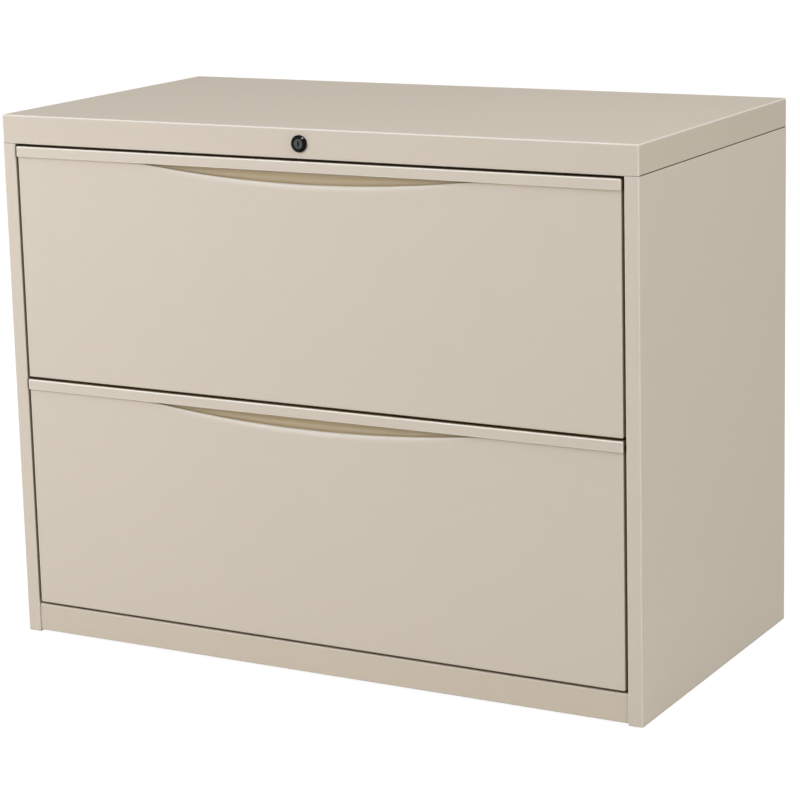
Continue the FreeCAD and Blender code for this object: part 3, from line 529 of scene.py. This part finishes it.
def powder_coat(name, colour, roughness, mottle=0.03, speck=0.03, dust=0.2, rub_and_highlight=0.9, shade=0.7,
                pocket=0.0, hem=0.0, gloss=0.2, rub_and_highlight_paling=0.45):
    """Putty powder coat: peel, mottle, paler edges from wear and a painted highlight, a trace of
    dust on faces that look up, and painted shade as a dark line where pieces nearly meet.

    A pocket share adds a painted tan shade inside the piece's own hollows where they look ahead or
    up, and where faces that look ahead come near another piece, in place of the painted dark line
    there. A hem share adds a painted dark shade line on faces that look down aslant and not ahead."""
    made, tree, shader = finish_named(name)
    skin = use(tree, powder_skin, Color=opaque(colour), Mottle=mottle, Speck=speck,
               Roughness=roughness)
    rubbed_and_lit = use(tree, edge_rub_and_highlight, Radius=coat_rub_and_highlight_radius, Amount=rub_and_highlight)["Mask"]
    dusted = use(tree, dust_fall, Amount=dust)["Mask"]
    # Edges paled partly for wear and partly as a painted highlight
    rub_and_highlight_colour = tuple(channel + rub_and_highlight_paling * (1 - channel) for channel in colour)
    shown = blended(tree, rubbed_and_lit, skin["Color"], opaque(rub_and_highlight_colour))
    shown = blended(tree, dusted, shown, opaque(dust_pale))
    # Painted shade where another piece comes near
    close = use(tree, gap_shade, Distance=gap_reach, Amount=shade)["Mask"]
    if pocket or hem:
        facing = add(tree, "SeparateXYZ", {0: add(tree, "NewGeometry").outputs["Normal"]}).outputs
        beside = ramp(tree, facing["Y"], -0.9, -0.3)
        seam = reckon(tree, "MULTIPLY", close, reckon(tree, "SUBTRACT", seam_gain, beside))
        close = reckon(tree, "MULTIPLY", close, beside)
    # Painted tan shade inside the recess, and along the seams that look ahead
    if pocket:
        outer_side = ramp(tree, reckon(tree, "SUBTRACT", facing["Y"], facing["Z"]), -0.1, -0.6)
        hollow = reckon(tree, "MULTIPLY", outer_side,
                        use(tree, pocket_shade, Distance=pocket_reach, Amount=pocket)["Mask"])
        shown = blended(tree, reckon(tree, "MAXIMUM", hollow, seam), shown, opaque(painted_recess_shade))
        close = reckon(tree, "MULTIPLY", close, reckon(tree, "SUBTRACT", 1.0, hollow))
    # Painted shade: a dark line on the undersides of hems that look down aslant
    if hem:
        under = ramp(tree, facing["Z"], 0.0, -0.25, high_out=hem)
        level = ramp(tree, facing["Z"], -0.995, -0.95)
        ahead = ramp(tree, facing["Y"], -0.3, -0.05)
        turned = reckon(tree, "MULTIPLY", under, reckon(tree, "MULTIPLY", level, ahead))
        close = reckon(tree, "MAXIMUM", close, turned)
    shown = blended(tree, close, shown, opaque(painted_gap_shade))
    smoother = reckon(tree, "SUBTRACT", skin["Roughness"],
                      reckon(tree, "MULTIPLY", rubbed_and_lit, rub_smoothing))
    rough = reckon(tree, "ADD", smoother, reckon(tree, "MULTIPLY", dusted, dust_dulling))
    feed(tree, shader, Base_Color=shown, Roughness=rough,
         Normal=bumped(tree, skin["Height"], coat_peel), IOR=1.5, Specular_IOR_Level=gloss)
    return made


def zinc_plate(name, roughness, lines, scratch):
    """Bright zinc plate on cold-rolled strip, with a few hairlines from running and handling."""
    made, tree, shader = finish_named(name)
    plate = use(tree, rolled_zinc, Cool=opaque(zinc_cool), Warm=opaque(zinc_warm),
                Roughness=roughness, Lines=lines)
    marks = use(tree, hairlines, Scale=260.0, Amount=scratch)["Mask"]
    rough = reckon(tree, "ADD", plate["Roughness"], marks)
    feed(tree, shader, Base_Color=plate["Color"], Roughness=rough, Metallic=1.0,
         Normal=bumped(tree, plate["Height"], zinc_line_height))
    return made


def gloss_black(name):
    """Glossy black enamel on the lock's bezel, with faint hairlines."""
    made, tree, shader = finish_named(name)
    marks = use(tree, hairlines, Scale=420.0, Amount=0.12)["Mask"]
    skin = use(tree, powder_skin, Color=opaque(black_gloss), Mottle=0.1, Speck=0.1,
               Roughness=0.1, Cloud=0.04)
    rough = reckon(tree, "ADD", skin["Roughness"], marks)
    feed(tree, shader, Base_Color=skin["Color"], Roughness=rough,
         Normal=bumped(tree, skin["Height"], enamel_peel), IOR=1.52, Specular_IOR_Level=0.07)
    return made


def turned_black(name, centre):
    """Satin black plug face with the fine rings of its turning about the lock's axis, and painted
    shade in the keyhole.
    """
    made, tree, shader = finish_named(name)
    place = add(tree, "TexCoord").outputs["Object"]
    about = add(tree, "Mapping", {"Vector": place, "Location": (-centre.x, 0.0, -centre.z),
                                  "Scale": (1.0, 0.0, 1.0)}).outputs[0]
    radius = add(tree, "VectorMath", {0: about}, operation="LENGTH").outputs["Value"]
    ring_rate = 2 * math.pi / ring_pitch
    rings = reckon(tree, "SINE", reckon(tree, "MULTIPLY", radius, ring_rate), 0.0)
    wobble = noise(tree, place, wobble_scale)
    uneven = reckon(tree, "MULTIPLY", reckon(tree, "MULTIPLY", rings, wobble), ring_unevenness)
    skin = use(tree, powder_skin, Color=opaque(black_satin), Mottle=0.2, Speck=0.2,
               Roughness=0.36, Cloud=0.1)
    marks = use(tree, hairlines, Scale=500.0, Amount=0.2)["Mask"]
    # Painted shade: the keyhole goes black where its walls close in
    hole = use(tree, gap_shade, Distance=keyhole_reach, Amount=1.0)["Mask"]
    rough = reckon(tree, "ADD", reckon(tree, "ADD", skin["Roughness"], uneven),
                   reckon(tree, "ADD", marks, reckon(tree, "MULTIPLY", hole, keyhole_dulling)))
    shown = blended(tree, hole, skin["Color"], opaque(painted_keyhole_shade))
    feed(tree, shader, Base_Color=shown, Roughness=rough, Specular_IOR_Level=0.3,
         Normal=bumped(tree, rings, ring_height))
    return made


def nylon(name):
    """Natural nylon: milky, soft in gloss, with faint flow marks."""
    made, tree, shader = finish_named(name)
    skin = use(tree, powder_skin, Color=opaque(nylon_natural), Mottle=0.08, Speck=0.03,
               Roughness=0.42, Cloud=0.1)
    feed(tree, shader, Base_Color=skin["Color"], Roughness=skin["Roughness"],
         Normal=bumped(tree, skin["Height"], nylon_grain), IOR=1.53)
    shader.inputs["Subsurface Weight"].default_value = 0.08
    shader.inputs["Subsurface Radius"].default_value = (0.002, 0.002, 0.0018)
    return made


def dipped_iron(name, colour, roughness, height):
    """Black-finished iron: cloudy, a little rusty where the skin is thin, with edges paler from
    wear and a painted highlight.
    """
    made, tree, shader = finish_named(name)
    skin = use(tree, powder_skin, Color=opaque(colour), Mottle=0.5, Speck=0.35,
               Roughness=roughness, Cloud=0.2)
    place = add(tree, "TexCoord").outputs["Object"]
    thin = ramp(tree, noise(tree, place, rust_scale, detail=6.0, roughness=0.7), 0.62, 0.74,
                high_out=0.35)
    # Edges paled partly for wear and partly as a painted highlight
    rubbed_and_lit = use(tree, edge_rub_and_highlight, Radius=iron_rub_and_highlight_radius, Amount=0.5)["Mask"]
    browned = blended(tree, thin, skin["Color"], opaque(iron_rust))
    shown = blended(tree, rubbed_and_lit, browned, opaque(iron_rubbed_and_lit))
    feed(tree, shader, Base_Color=shown, Roughness=skin["Roughness"],
         Normal=bumped(tree, skin["Height"], height))
    return made


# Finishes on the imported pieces

lock_low, lock_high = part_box("lock_housing")
lock_centre = (lock_low + lock_high) / 2

finishes = {
    "putty_paint": powder_coat("putty_outer_coat", putty, 0.44),
    "putty_drawer_body": powder_coat("putty_drawer_coat", putty_thin, 0.5, mottle=0.05, dust=0.25,
                                     shade=0.5),
    "putty_frame": powder_coat("putty_inner_coat", putty_inner, 0.56, mottle=0.1, speck=0.06,
                               dust=0.4, shade=0.55),
    "black_lock_bezel": gloss_black("black_bezel_enamel"),
    "lock_plug_face": turned_black("black_plug_satin", lock_centre),
    "zinc_slide": zinc_plate("zinc_slide_plate", roughness=0.3, lines=0.14, scratch=0.12),
    "zinc_hardware": zinc_plate("zinc_hardware_plate", roughness=0.38, lines=0.1, scratch=0.16),
    "guide_nylon": nylon("guide_nylon_natural"),
    "glide_foot": dipped_iron("glide_black_oxide", black_oxide, roughness=0.42, height=0.00001),
    "raw_casting": dipped_iron("counterweight_dip", casting_dip, roughness=0.6, height=0.00012),
}
top_finish = powder_coat("putty_cover_coat", putty, 0.46, dust=0.15, hem=1.0, gloss=0.0)
front_finish = powder_coat("putty_front_coat", putty, 0.44, rub_and_highlight=0.62, shade=0.45, pocket=1.0,
                           gloss=0.1)
strip_finish = powder_coat("putty_strip_coat", putty, 0.4, shade=1.0, rub_and_highlight_paling=0.62)
toe_finish = powder_coat("putty_toe_coat", putty_toe_shaded, 0.46)
own_finishes = {"top_cover": top_finish, "base_front_rail": toe_finish,
                "upper_pull_strip": strip_finish, "lower_pull_strip": strip_finish}

for part in frame["record"]["subparts"]:
    usual = finishes[part["material_slot"]]
    node_slots = frame["nodes"][part["node"]].material_slots
    node_slots[0].material = own_finishes.get(part["node"], usual)


# Drawer fronts

def recess_section(sheet):
    """Depth and radius along the finger recess's section, grown by the sheet for its inner side.

    The rolled lip is a quarter ellipse from the face up to the floor, the floor runs straight
    back, and the hollow is a quarter circle from the floor up to the rear wall."""
    turn = np.linspace(0, math.pi / 2, lip_steps)
    lip, rise, hollow = recess_lip - sheet, recess_lip_rise - sheet, recess_hollow + sheet
    hollow_depth = recess_depth - recess_hollow
    hollow_radius = recess_arc - recess_lip_rise - recess_hollow
    wall_radius = recess_arc - recess_drop - strip_height - recess_depth
    depth = np.concatenate([recess_lip - lip * np.cos(turn),
                            hollow_depth + hollow * np.sin(turn), [recess_depth + sheet]])
    radius = np.concatenate([recess_arc - rise * np.sin(turn),
                             hollow_radius + hollow * np.cos(turn), [wall_radius]])
    return depth, radius


def front_face(low, high, sheet):
    """The face, the recess and the top flange of one side of the front sheet, as a grid of points.

    Its rows climb from the lower edge to the lip and through the recess. At x the lip and each row
    of the recess stand below the arc's axis by the root of radius squared less x squared, but no
    higher than the top flange, and the recess's depth falls as 1 - (x / reach) squared."""
    half, base, top = high.x - sheet, low.z + sheet, high.z - sheet
    edge = front_edge - sheet
    flat = half - edge
    inner_x = np.linspace(front_margin - flat, flat - front_margin, front_columns)
    x = np.concatenate([[-flat], inner_x, [flat]])
    axis_z = high.z + strip_sheet - strip_height - recess_drop + recess_arc
    depth, radius = recess_section(sheet)
    arcs = np.minimum(axis_z - np.sqrt(radius[:, None] ** 2 - x ** 2), top)
    foot = base + edge
    share = np.linspace(0, 1, front_rows)[:, None]
    plain = foot + front_margin + share * (arcs[0] - foot - 2 * front_margin)
    row = np.ones((1, len(x)))
    heights = np.concatenate([foot * row, plain, arcs, top * row])
    reach = math.sqrt(recess_arc ** 2 - (recess_arc - recess_drop) ** 2)
    fade = np.clip(1 - (x / reach) ** 2, recess_tip_share, 1)
    depths = np.concatenate([np.full((front_rows + 1, 1), sheet) * row,
                             sheet + (depth - sheet)[:, None] * fade,
                             (high.y - low.y) * row])
    return np.stack(np.broadcast_arrays(x, low.y + depths, heights), axis=-1)


def front_skin(low, high, sheet):
    """One side of the pressed front sheet: its vertices, faces and loop at the rear edge.

    Round the face's sides and foot, path names the points that the edge starts from and angle the
    way it leaves them: a quarter circle back from the face, and then a flange to the rear."""
    grid = front_face(low, high, sheet)
    edge, face = front_edge - sheet, low.y + sheet
    plain_rows = front_rows + 2
    rows, columns = grid.shape[:2]
    number = np.arange(rows * columns).reshape(rows, columns)
    face_quads = np.stack([number[:-1, :-1], number[:-1, 1:], number[1:, 1:], number[1:, :-1]],
                          axis=-1).reshape(-1, 4)
    corner = np.linspace(math.pi, 1.5 * math.pi, corner_steps)[1:-1]
    sides = number[plain_rows - 1::-1, 0], number[:plain_rows, -1]
    path = np.concatenate([sides[0], np.full(len(corner), number[0, 0]), number[0],
                           np.full(len(corner), number[0, -1]), sides[1]])
    angle = np.concatenate([np.full(plain_rows, math.pi), corner,
                            np.full(columns, 1.5 * math.pi), corner + math.pi / 2,
                            np.full(plain_rows, 2 * math.pi)])
    bend = np.linspace(0, math.pi / 2, edge_steps)[1:]
    outward = np.append(edge * np.sin(bend), edge)[:, None]
    back = np.append(face + edge - edge * np.cos(bend), high.y)[:, None]
    start = grid.reshape(-1, 3)[path]
    rim = np.stack(np.broadcast_arrays(start[:, 0] + outward * np.cos(angle), back,
                                       start[:, 2] + outward * np.sin(angle)), axis=-1)
    rim_number = rows * columns + np.arange(rim[..., 0].size).reshape(rim.shape[:2])
    ring = np.concatenate([path[None, :], rim_number])
    rim_quads = np.stack([ring[:-1, :-1], ring[1:, :-1], ring[1:, 1:], ring[:-1, 1:]],
                         axis=-1).reshape(-1, 4)
    left_end = number[plain_rows - 1:, 0].tolist() + rim_number[::-1, 0].tolist()
    right_end = rim_number[:, -1].tolist() + number[:plain_rows - 2:-1, -1].tolist()
    vertices = np.concatenate([grid.reshape(-1, 3), rim.reshape(-1, 3)])
    faces = face_quads.tolist() + rim_quads.tolist() + [left_end, right_end]
    loop = np.concatenate([rim_number[-1], number[-1, ::-1]])
    return vertices, [list(dict.fromkeys(polygon)) for polygon in faces], loop


def make_drawer_front(drawer):
    """The pressed front sheet: its outer and inner skins, joined round the rear edge."""
    node = drawer + "_drawer_front"
    low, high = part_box(node)
    outer, outer_faces, outer_loop = front_skin(low, high, 0.0)
    inner, inner_faces, inner_loop = front_skin(low, high, front_sheet)
    inner_loop = inner_loop + len(outer)
    reversed_faces = [polygon[::-1] for polygon in inner_faces]
    shell, faces = joined([(outer, outer_faces), (inner, reversed_faces)])
    rear = np.stack([outer_loop, inner_loop, np.roll(inner_loop, -1), np.roll(outer_loop, -1)],
                    axis=-1)
    piece(drawer + "_pressed_front", (shell, faces + rear.tolist()), front_finish,
          drawer + "_drawer", node)


# Lock

def ring_turning(radii, heights, columns):
    """A turned ring: its outline climbs the axis outside and comes down inside to its start."""
    points = turned_grid(radii, heights, columns)
    count = len(points) * columns
    return points.reshape(-1, 3), (faces_of_grid(len(points) + 1, columns) % count).tolist()


def make_lock_housing():
    """Bezel with a coned face, and a threaded barrel whose radius is the least of the thread's and
    the flats' distance over the sine of the angle."""
    low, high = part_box("lock_housing")
    length, outer = high.y - low.y, (high.x - low.x) / 2
    columns = lock_columns
    angle = np.arange(columns) * 2 * math.pi / columns
    steps = np.arange(0, length - lock_proud, lock_pitch / rings_per_pitch)
    thread = thread_radii(lock_barrel, lock_thread_depth, lock_pitch, steps, columns, lock_pitch)
    flats = lock_flat / np.maximum(np.abs(np.sin(angle)), 1e-6)
    barrel = np.minimum(thread, flats)
    turn = np.linspace(0, 1, bezel_steps)[:, None] * (math.pi / 2 - bezel_cone)
    rim_radius = outer - bezel_round + bezel_round * np.cos(turn)
    cone_drop = (outer - bezel_round - lock_mouth) * math.tan(bezel_cone)
    rim_foot = length - cone_drop - bezel_round * math.cos(bezel_cone)
    rim_height = rim_foot + bezel_round * np.sin(turn)
    lip = np.linspace(0, math.pi / 2, lock_lip_steps)[:, None]
    mouth = lock_mouth - lock_lip * np.sin(lip)
    mouth_height = length - lock_lip * (1 - np.cos(lip))
    inside = np.array([[lock_mouth - lock_lip], [lock_bore], [lock_bore]])
    inside_height = np.array([[length - lock_face_depth], [length - lock_face_depth], [0.0]])
    flat = np.ones(columns)
    radii = np.concatenate([barrel, np.full((1, columns), outer), rim_radius * flat, mouth * flat,
                            inside * flat])
    heights = np.concatenate([steps[:, None] * flat, np.full((1, columns), length - lock_proud),
                              rim_height * flat, mouth_height * flat, inside_height * flat])
    middle = (low + high) / 2
    lying = Matrix.Translation((middle.x, high.y, middle.z)) @ Matrix.Rotation(math.pi / 2, 4, "X")
    piece("lock_bezel_and_barrel", placed(ring_turning(radii, heights, columns), lying),
          finishes["black_lock_bezel"], "case", "lock_housing")


# Screws

def screw_shell():
    """A pan-head screw along +Z with its head's underside at height zero.

    The head's top falls from the middle as a power of the radius, and a cross is sunk where either
    coordinate is within the arm's half width and the other within its length."""
    columns = screw_columns
    share = np.concatenate([np.linspace(*screw_inner_rings), np.linspace(*screw_outer_rings)])
    radius = share * screw_head_radius
    angle = np.arange(columns) * 2 * math.pi / columns
    x, y = radius[:, None] * np.cos(angle), radius[:, None] * np.sin(angle)
    fall = dome_fall * share[:, None] ** dome_power
    dome = screw_head_height * (1 - fall) * np.ones(columns)
    across = np.minimum(np.abs(x), np.abs(y))
    along = np.maximum(np.abs(x), np.abs(y))
    arm = np.clip((cross_width - across) / (cross_side_slope * cross_width) + 0.5, 0, 1)
    reach = np.clip((cross_arm - along) / (cross_end_slope * cross_width), 0, 1)
    height = dome - cross_depth * arm * reach
    rim = np.full(columns, screw_head_radius)
    under = np.full(columns, screw_shank_radius)
    shank_steps = np.linspace(-screw_length, 0, screw_shank_rings)
    shank = thread_radii(screw_shank_radius, screw_thread_depth, screw_pitch, shank_steps, columns,
                         screw_run_out)
    radii = np.concatenate([shank, [under], [rim], np.tile(radius[::-1, None], columns)])
    heights = np.concatenate([np.tile(shank_steps[:, None], columns), [np.zeros(columns)],
                              [np.zeros(columns)], height[::-1]])
    return closed_turning(radii, heights, columns)


def make_screws():
    """The back panel's screws, in two columns of equal steps, each with its own turn."""
    low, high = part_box("case_screws")
    panel_y = high.y - screw_head_height
    columns_x = (low.x + screw_head_radius, high.x - screw_head_radius)
    rows_z = np.linspace(low.z + screw_head_radius, high.z - screw_head_radius, screw_rows)
    one = screw_shell()
    turns = np.random.default_rng(5).uniform(0, math.pi / 2, 2 * screw_rows)
    shells = []
    for index, (x, z) in enumerate((x, z) for x in columns_x for z in rows_z):
        lying = Matrix.Translation((x, panel_y, z)) @ Matrix.Rotation(-math.pi / 2, 4, "X")
        shells.append(placed(one, lying @ Matrix.Rotation(turns[index], 4, "Z")))
    piece("pan_head_screws", joined(shells), finishes["zinc_hardware"], "case",
          "case_screws")


# Levelling glides

def hexagon_radii(across, columns):
    """Radius of a hexagon by angle: half its width over the cosine of the angle from the nearest
    flat's middle."""
    angle = np.arange(columns) * 2 * math.pi / columns
    from_flat = np.mod(angle, math.pi / 3) - math.pi / 6
    return across / 2 / np.cos(from_flat)


def glide_shells(foot_radius, top):
    """A glide about the Z axis: a dished foot, a chamfered hexagon and a threaded stem."""
    columns = glide_columns
    bend = np.linspace(0, math.pi / 2, foot_steps)
    foot_radii = np.concatenate([
        [foot_radius - foot_flat_inset, foot_radius - foot_round],
        foot_radius - foot_round + foot_round * np.sin(bend),
        foot_radius - foot_shoulder * (1 - np.cos(bend)),
        [foot_radius * foot_dish_share, glide_hex_across * foot_neck_share]])
    foot_heights = np.concatenate([
        [0.0, 0.0],
        foot_round - foot_round * np.cos(bend),
        foot_wall_top + foot_shoulder_rise * np.sin(bend),
        [foot_dish_height, glide_foot_height]])
    foot = closed_turning(foot_radii, foot_heights, columns)
    corner = glide_hex_across / 2 / math.cos(math.pi / 6)
    heights = np.array([glide_foot_height, glide_foot_height + glide_chamfer,
                        glide_hex_top - glide_chamfer, glide_hex_top])
    limit = np.array([corner - glide_chamfer, corner, corner, corner - glide_chamfer])
    collar_radii = np.minimum(hexagon_radii(glide_hex_across, columns)[None, :], limit[:, None])
    collar = closed_turning(collar_radii, heights, columns)
    steps = np.arange(glide_hex_top, top, glide_pitch / rings_per_pitch)
    stem_radii = thread_radii(glide_stem_radius, glide_thread_depth, glide_pitch, steps,
                              glide_stem_columns, glide_run_out)
    stem = closed_turning(stem_radii, steps, glide_stem_columns)
    return [foot, collar, stem]


def make_glides():
    """One glide for each corner, each riding on its own body."""
    for name in ("front_left_glide", "front_right_glide", "rear_left_glide", "rear_right_glide"):
        low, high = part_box(name)
        middle = (low + high) / 2
        place = Matrix.Translation((middle.x, middle.y, 0.0))
        shells = [placed(shell, place) for shell in glide_shells((high.x - low.x) / 2, high.z)]
        piece(name + "_threaded", joined(shells), finishes["glide_foot"], name, name)


# Ball cages

def ball_shell(radius):
    """A ball as a closed turning of rings at equal steps of latitude."""
    latitude = np.linspace(-math.pi / 2, math.pi / 2, ball_rings)[1:-1]
    return closed_turning(radius * np.cos(latitude), radius * np.sin(latitude), ball_columns)


def channel_outline(depth, half_height, bend, sheet):
    """Outline of a folded channel, open towards -X: its outer line there and its inner line back,
    with round bends about the same centres."""
    turn = np.linspace(0, math.pi / 2, cage_bend_steps)
    line = []
    for radius, inset, order in ((bend + sheet, 0.0, 1), (bend, sheet, -1)):
        high = half_height - inset
        corner_high = np.stack([-bend - sheet + radius * np.sin(turn),
                                half_height - bend - sheet + radius * np.cos(turn)], axis=-1)
        corner_low = corner_high[::-1] * (1, -1)
        whole = np.concatenate([[[-depth, high]], corner_high, corner_low, [[-depth, -high]]])
        line.append(whole[::order])
    return np.concatenate(line)


def swept_shell(outline, start, end):
    """A closed outline in X and Z carried straight along Y, with both ends closed."""
    count = len(outline)
    rings = [np.stack([outline[:, 0], np.full(count, y), outline[:, 1]], axis=-1)
             for y in (start, end)]
    faces = faces_of_grid(2, count).tolist()
    half = count // 2
    for first, order in ((0, 1), (count, -1)):
        for step in range(half - 1):
            quad = [step, step + 1, count - 2 - step, count - 1 - step]
            faces.append([first + index for index in quad[::order]])
    return np.concatenate(rings), faces


def make_ball_cages(drawer, kind, ball):
    """Both cages of one kind on one drawer: a folded strip and its two rows of balls a side."""
    node = drawer + "_" + kind + "_ball_cages"
    low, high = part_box(node)
    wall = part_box(drawer + "_right_slide_channel")[1].x
    middle_z = (low.z + high.z) / 2
    row_height = (high.z - low.z) / 2 - ball
    strip_half = row_height + cage_sheet / 2
    depth = high.x - (wall - ball_line - ball)
    strip = swept_shell(channel_outline(depth, strip_half, cage_bend, cage_sheet), low.y, high.y)
    count = int((high.y - low.y) / ball_pitch)
    margin = (high.y - low.y - (count - 1) * ball_pitch) / 2
    one = ball_shell(ball)
    middle_y = (low.y + high.y) / 2
    to_middle = Matrix.Translation((0, middle_y, 0))
    from_middle = Matrix.Translation((0, -middle_y, 0))
    strip_place = Matrix.Translation((high.x, 0, middle_z))
    shells = []
    for side in (0, math.pi):
        half_turn = to_middle @ Matrix.Rotation(side, 4, "Z") @ from_middle
        shells.append(placed(strip, half_turn @ strip_place))
        for row in (-1, 1):
            for step in range(count):
                centre = Vector((wall - ball_line, low.y + margin + step * ball_pitch,
                                 middle_z + row * row_height))
                shells.append(placed(one, Matrix.Translation(half_turn @ centre)))
    body = drawer + "_" + kind + "_cages"
    piece(node + "_full", joined(shells), finishes["zinc_slide"], body, node)


make_lock_housing()
make_screws()
make_glides()
for drawer_name in ("lower", "upper"):
    make_drawer_front(drawer_name)
    make_ball_cages(drawer_name, "outer", outer_ball)
    make_ball_cages(drawer_name, "inner", inner_ball)


# Floor, light and camera

def light_rays(tree):
    """One where a ray comes from the camera, a mirror or glass, else zero."""
    path = add(tree, "LightPath").outputs
    seen = reckon(tree, "MAXIMUM", path["Is Camera Ray"], path["Is Glossy Ray"])
    return reckon(tree, "MAXIMUM", seen, path["Is Transmission Ray"])


def make_floor():
    """A pale floor that shows nearly white and keeps a soft shadow."""
    made = bpy.data.materials.new("pale_floor")
    made.use_nodes = True
    tree = made.node_tree
    tree.nodes.clear()
    paint = add(tree, "BsdfDiffuse", {"Color": opaque(floor_paint)}).outputs[0]
    glow = add(tree, "Emission", {"Color": opaque(white), "Strength": floor_glow}).outputs[0]
    share = reckon(tree, "MULTIPLY", light_rays(tree), floor_glow_share)
    mixed = add(tree, "MixShader", {0: share, 1: paint, 2: glow}).outputs[0]
    add(tree, "OutputMaterial", {"Surface": mixed})
    half = floor_half
    mesh = bpy.data.meshes.new("floor")
    mesh.from_pydata([(-half, -half, 0), (half, -half, 0), (half, half, 0), (-half, half, 0)], [],
                     [(0, 1, 2, 3)])
    mesh.materials.append(made)
    floor = bpy.data.objects.new("floor", mesh)
    scene.collection.objects.link(floor)


def make_world():
    """White where it is seen, and an even soft light elsewhere."""
    world = bpy.data.worlds.new("studio")
    world.use_nodes = True
    tree = world.node_tree
    seen = light_rays(tree)
    fill(tree, tree.nodes["Background"].inputs,
         {"Color": blended(tree, seen, opaque(room_warm), opaque(white)),
          "Strength": ramp(tree, seen, 0.0, 1.0, low_out=room_light)})
    scene.world = world


def make_lamp(name, place, target, width, height, power, colour=white):
    """A soft box that looks at a target, with its size in metres and its power in watts."""
    light = bpy.data.lights.new(name, "AREA")
    light.shape = "RECTANGLE"
    light.size, light.size_y = width, height
    light.energy = power
    light.color = colour
    lamp = bpy.data.objects.new(name, light)
    lamp.location = place
    lamp.rotation_euler = (Vector(target) - Vector(place)).to_track_quat("-Z", "Y").to_euler()
    scene.collection.objects.link(lamp)
    return lamp


def make_camera():
    """The photograph's view: a long lens to the right of the front and above the top, its frame
    shifted down as the photograph's is."""
    lens = bpy.data.cameras.new("photo_view")
    lens.sensor_width = view_sensor_mm
    lens.lens = lens.sensor_width * view_focal_px / view_frame_px
    lens.shift_y = view_shift_px / view_frame_px
    lens.clip_end = view_clip_end
    camera = bpy.data.objects.new("photo_view", lens)
    turn = (Matrix.Rotation(view_yaw, 3, "Z") @ Matrix.Rotation(math.pi / 2 - view_pitch, 3, "X")
            @ Matrix.Rotation(view_roll, 3, "Z"))
    camera.location = view_place
    camera.rotation_euler = turn.to_euler()
    scene.collection.objects.link(camera)
    scene.camera = camera


make_floor()
make_world()
make_lamp("front_left_softbox", place=(-1.7, -2.3, 1.3), target=cabinet_middle, width=1.2,
          height=1.2, power=37.0, colour=(0.98, 0.98, 1.05))
make_lamp("high_right_softbox", place=(1.4, -0.8, 2.7), target=cabinet_middle, width=1.2,
          height=1.2, power=17.0)
make_lamp("high_front_lamp", place=(0.1, -2.3, 2.65), target=lock_centre, width=0.32,
          height=0.32, power=6.5)
# This one shows in the bezel's gloss only, and lights no paint
glint = make_lamp("bezel_glint", place=(0.5, -2.3, 2.65), target=lock_centre, width=0.3,
                  height=0.3, power=75.0)
glint.visible_diffuse = False
make_lamp("right_softbox", place=(3.0, -0.9, 0.7), target=cabinet_middle, width=0.5, height=1.6,
          power=14.0, colour=(1.0, 0.98, 0.96))
make_lamp("rear_softbox", place=(-1.6, 3.2, 1.5), target=cabinet_middle, width=1.4, height=1.4,
          power=24.0)
make_camera()
scene.view_settings.view_transform = "Standard"
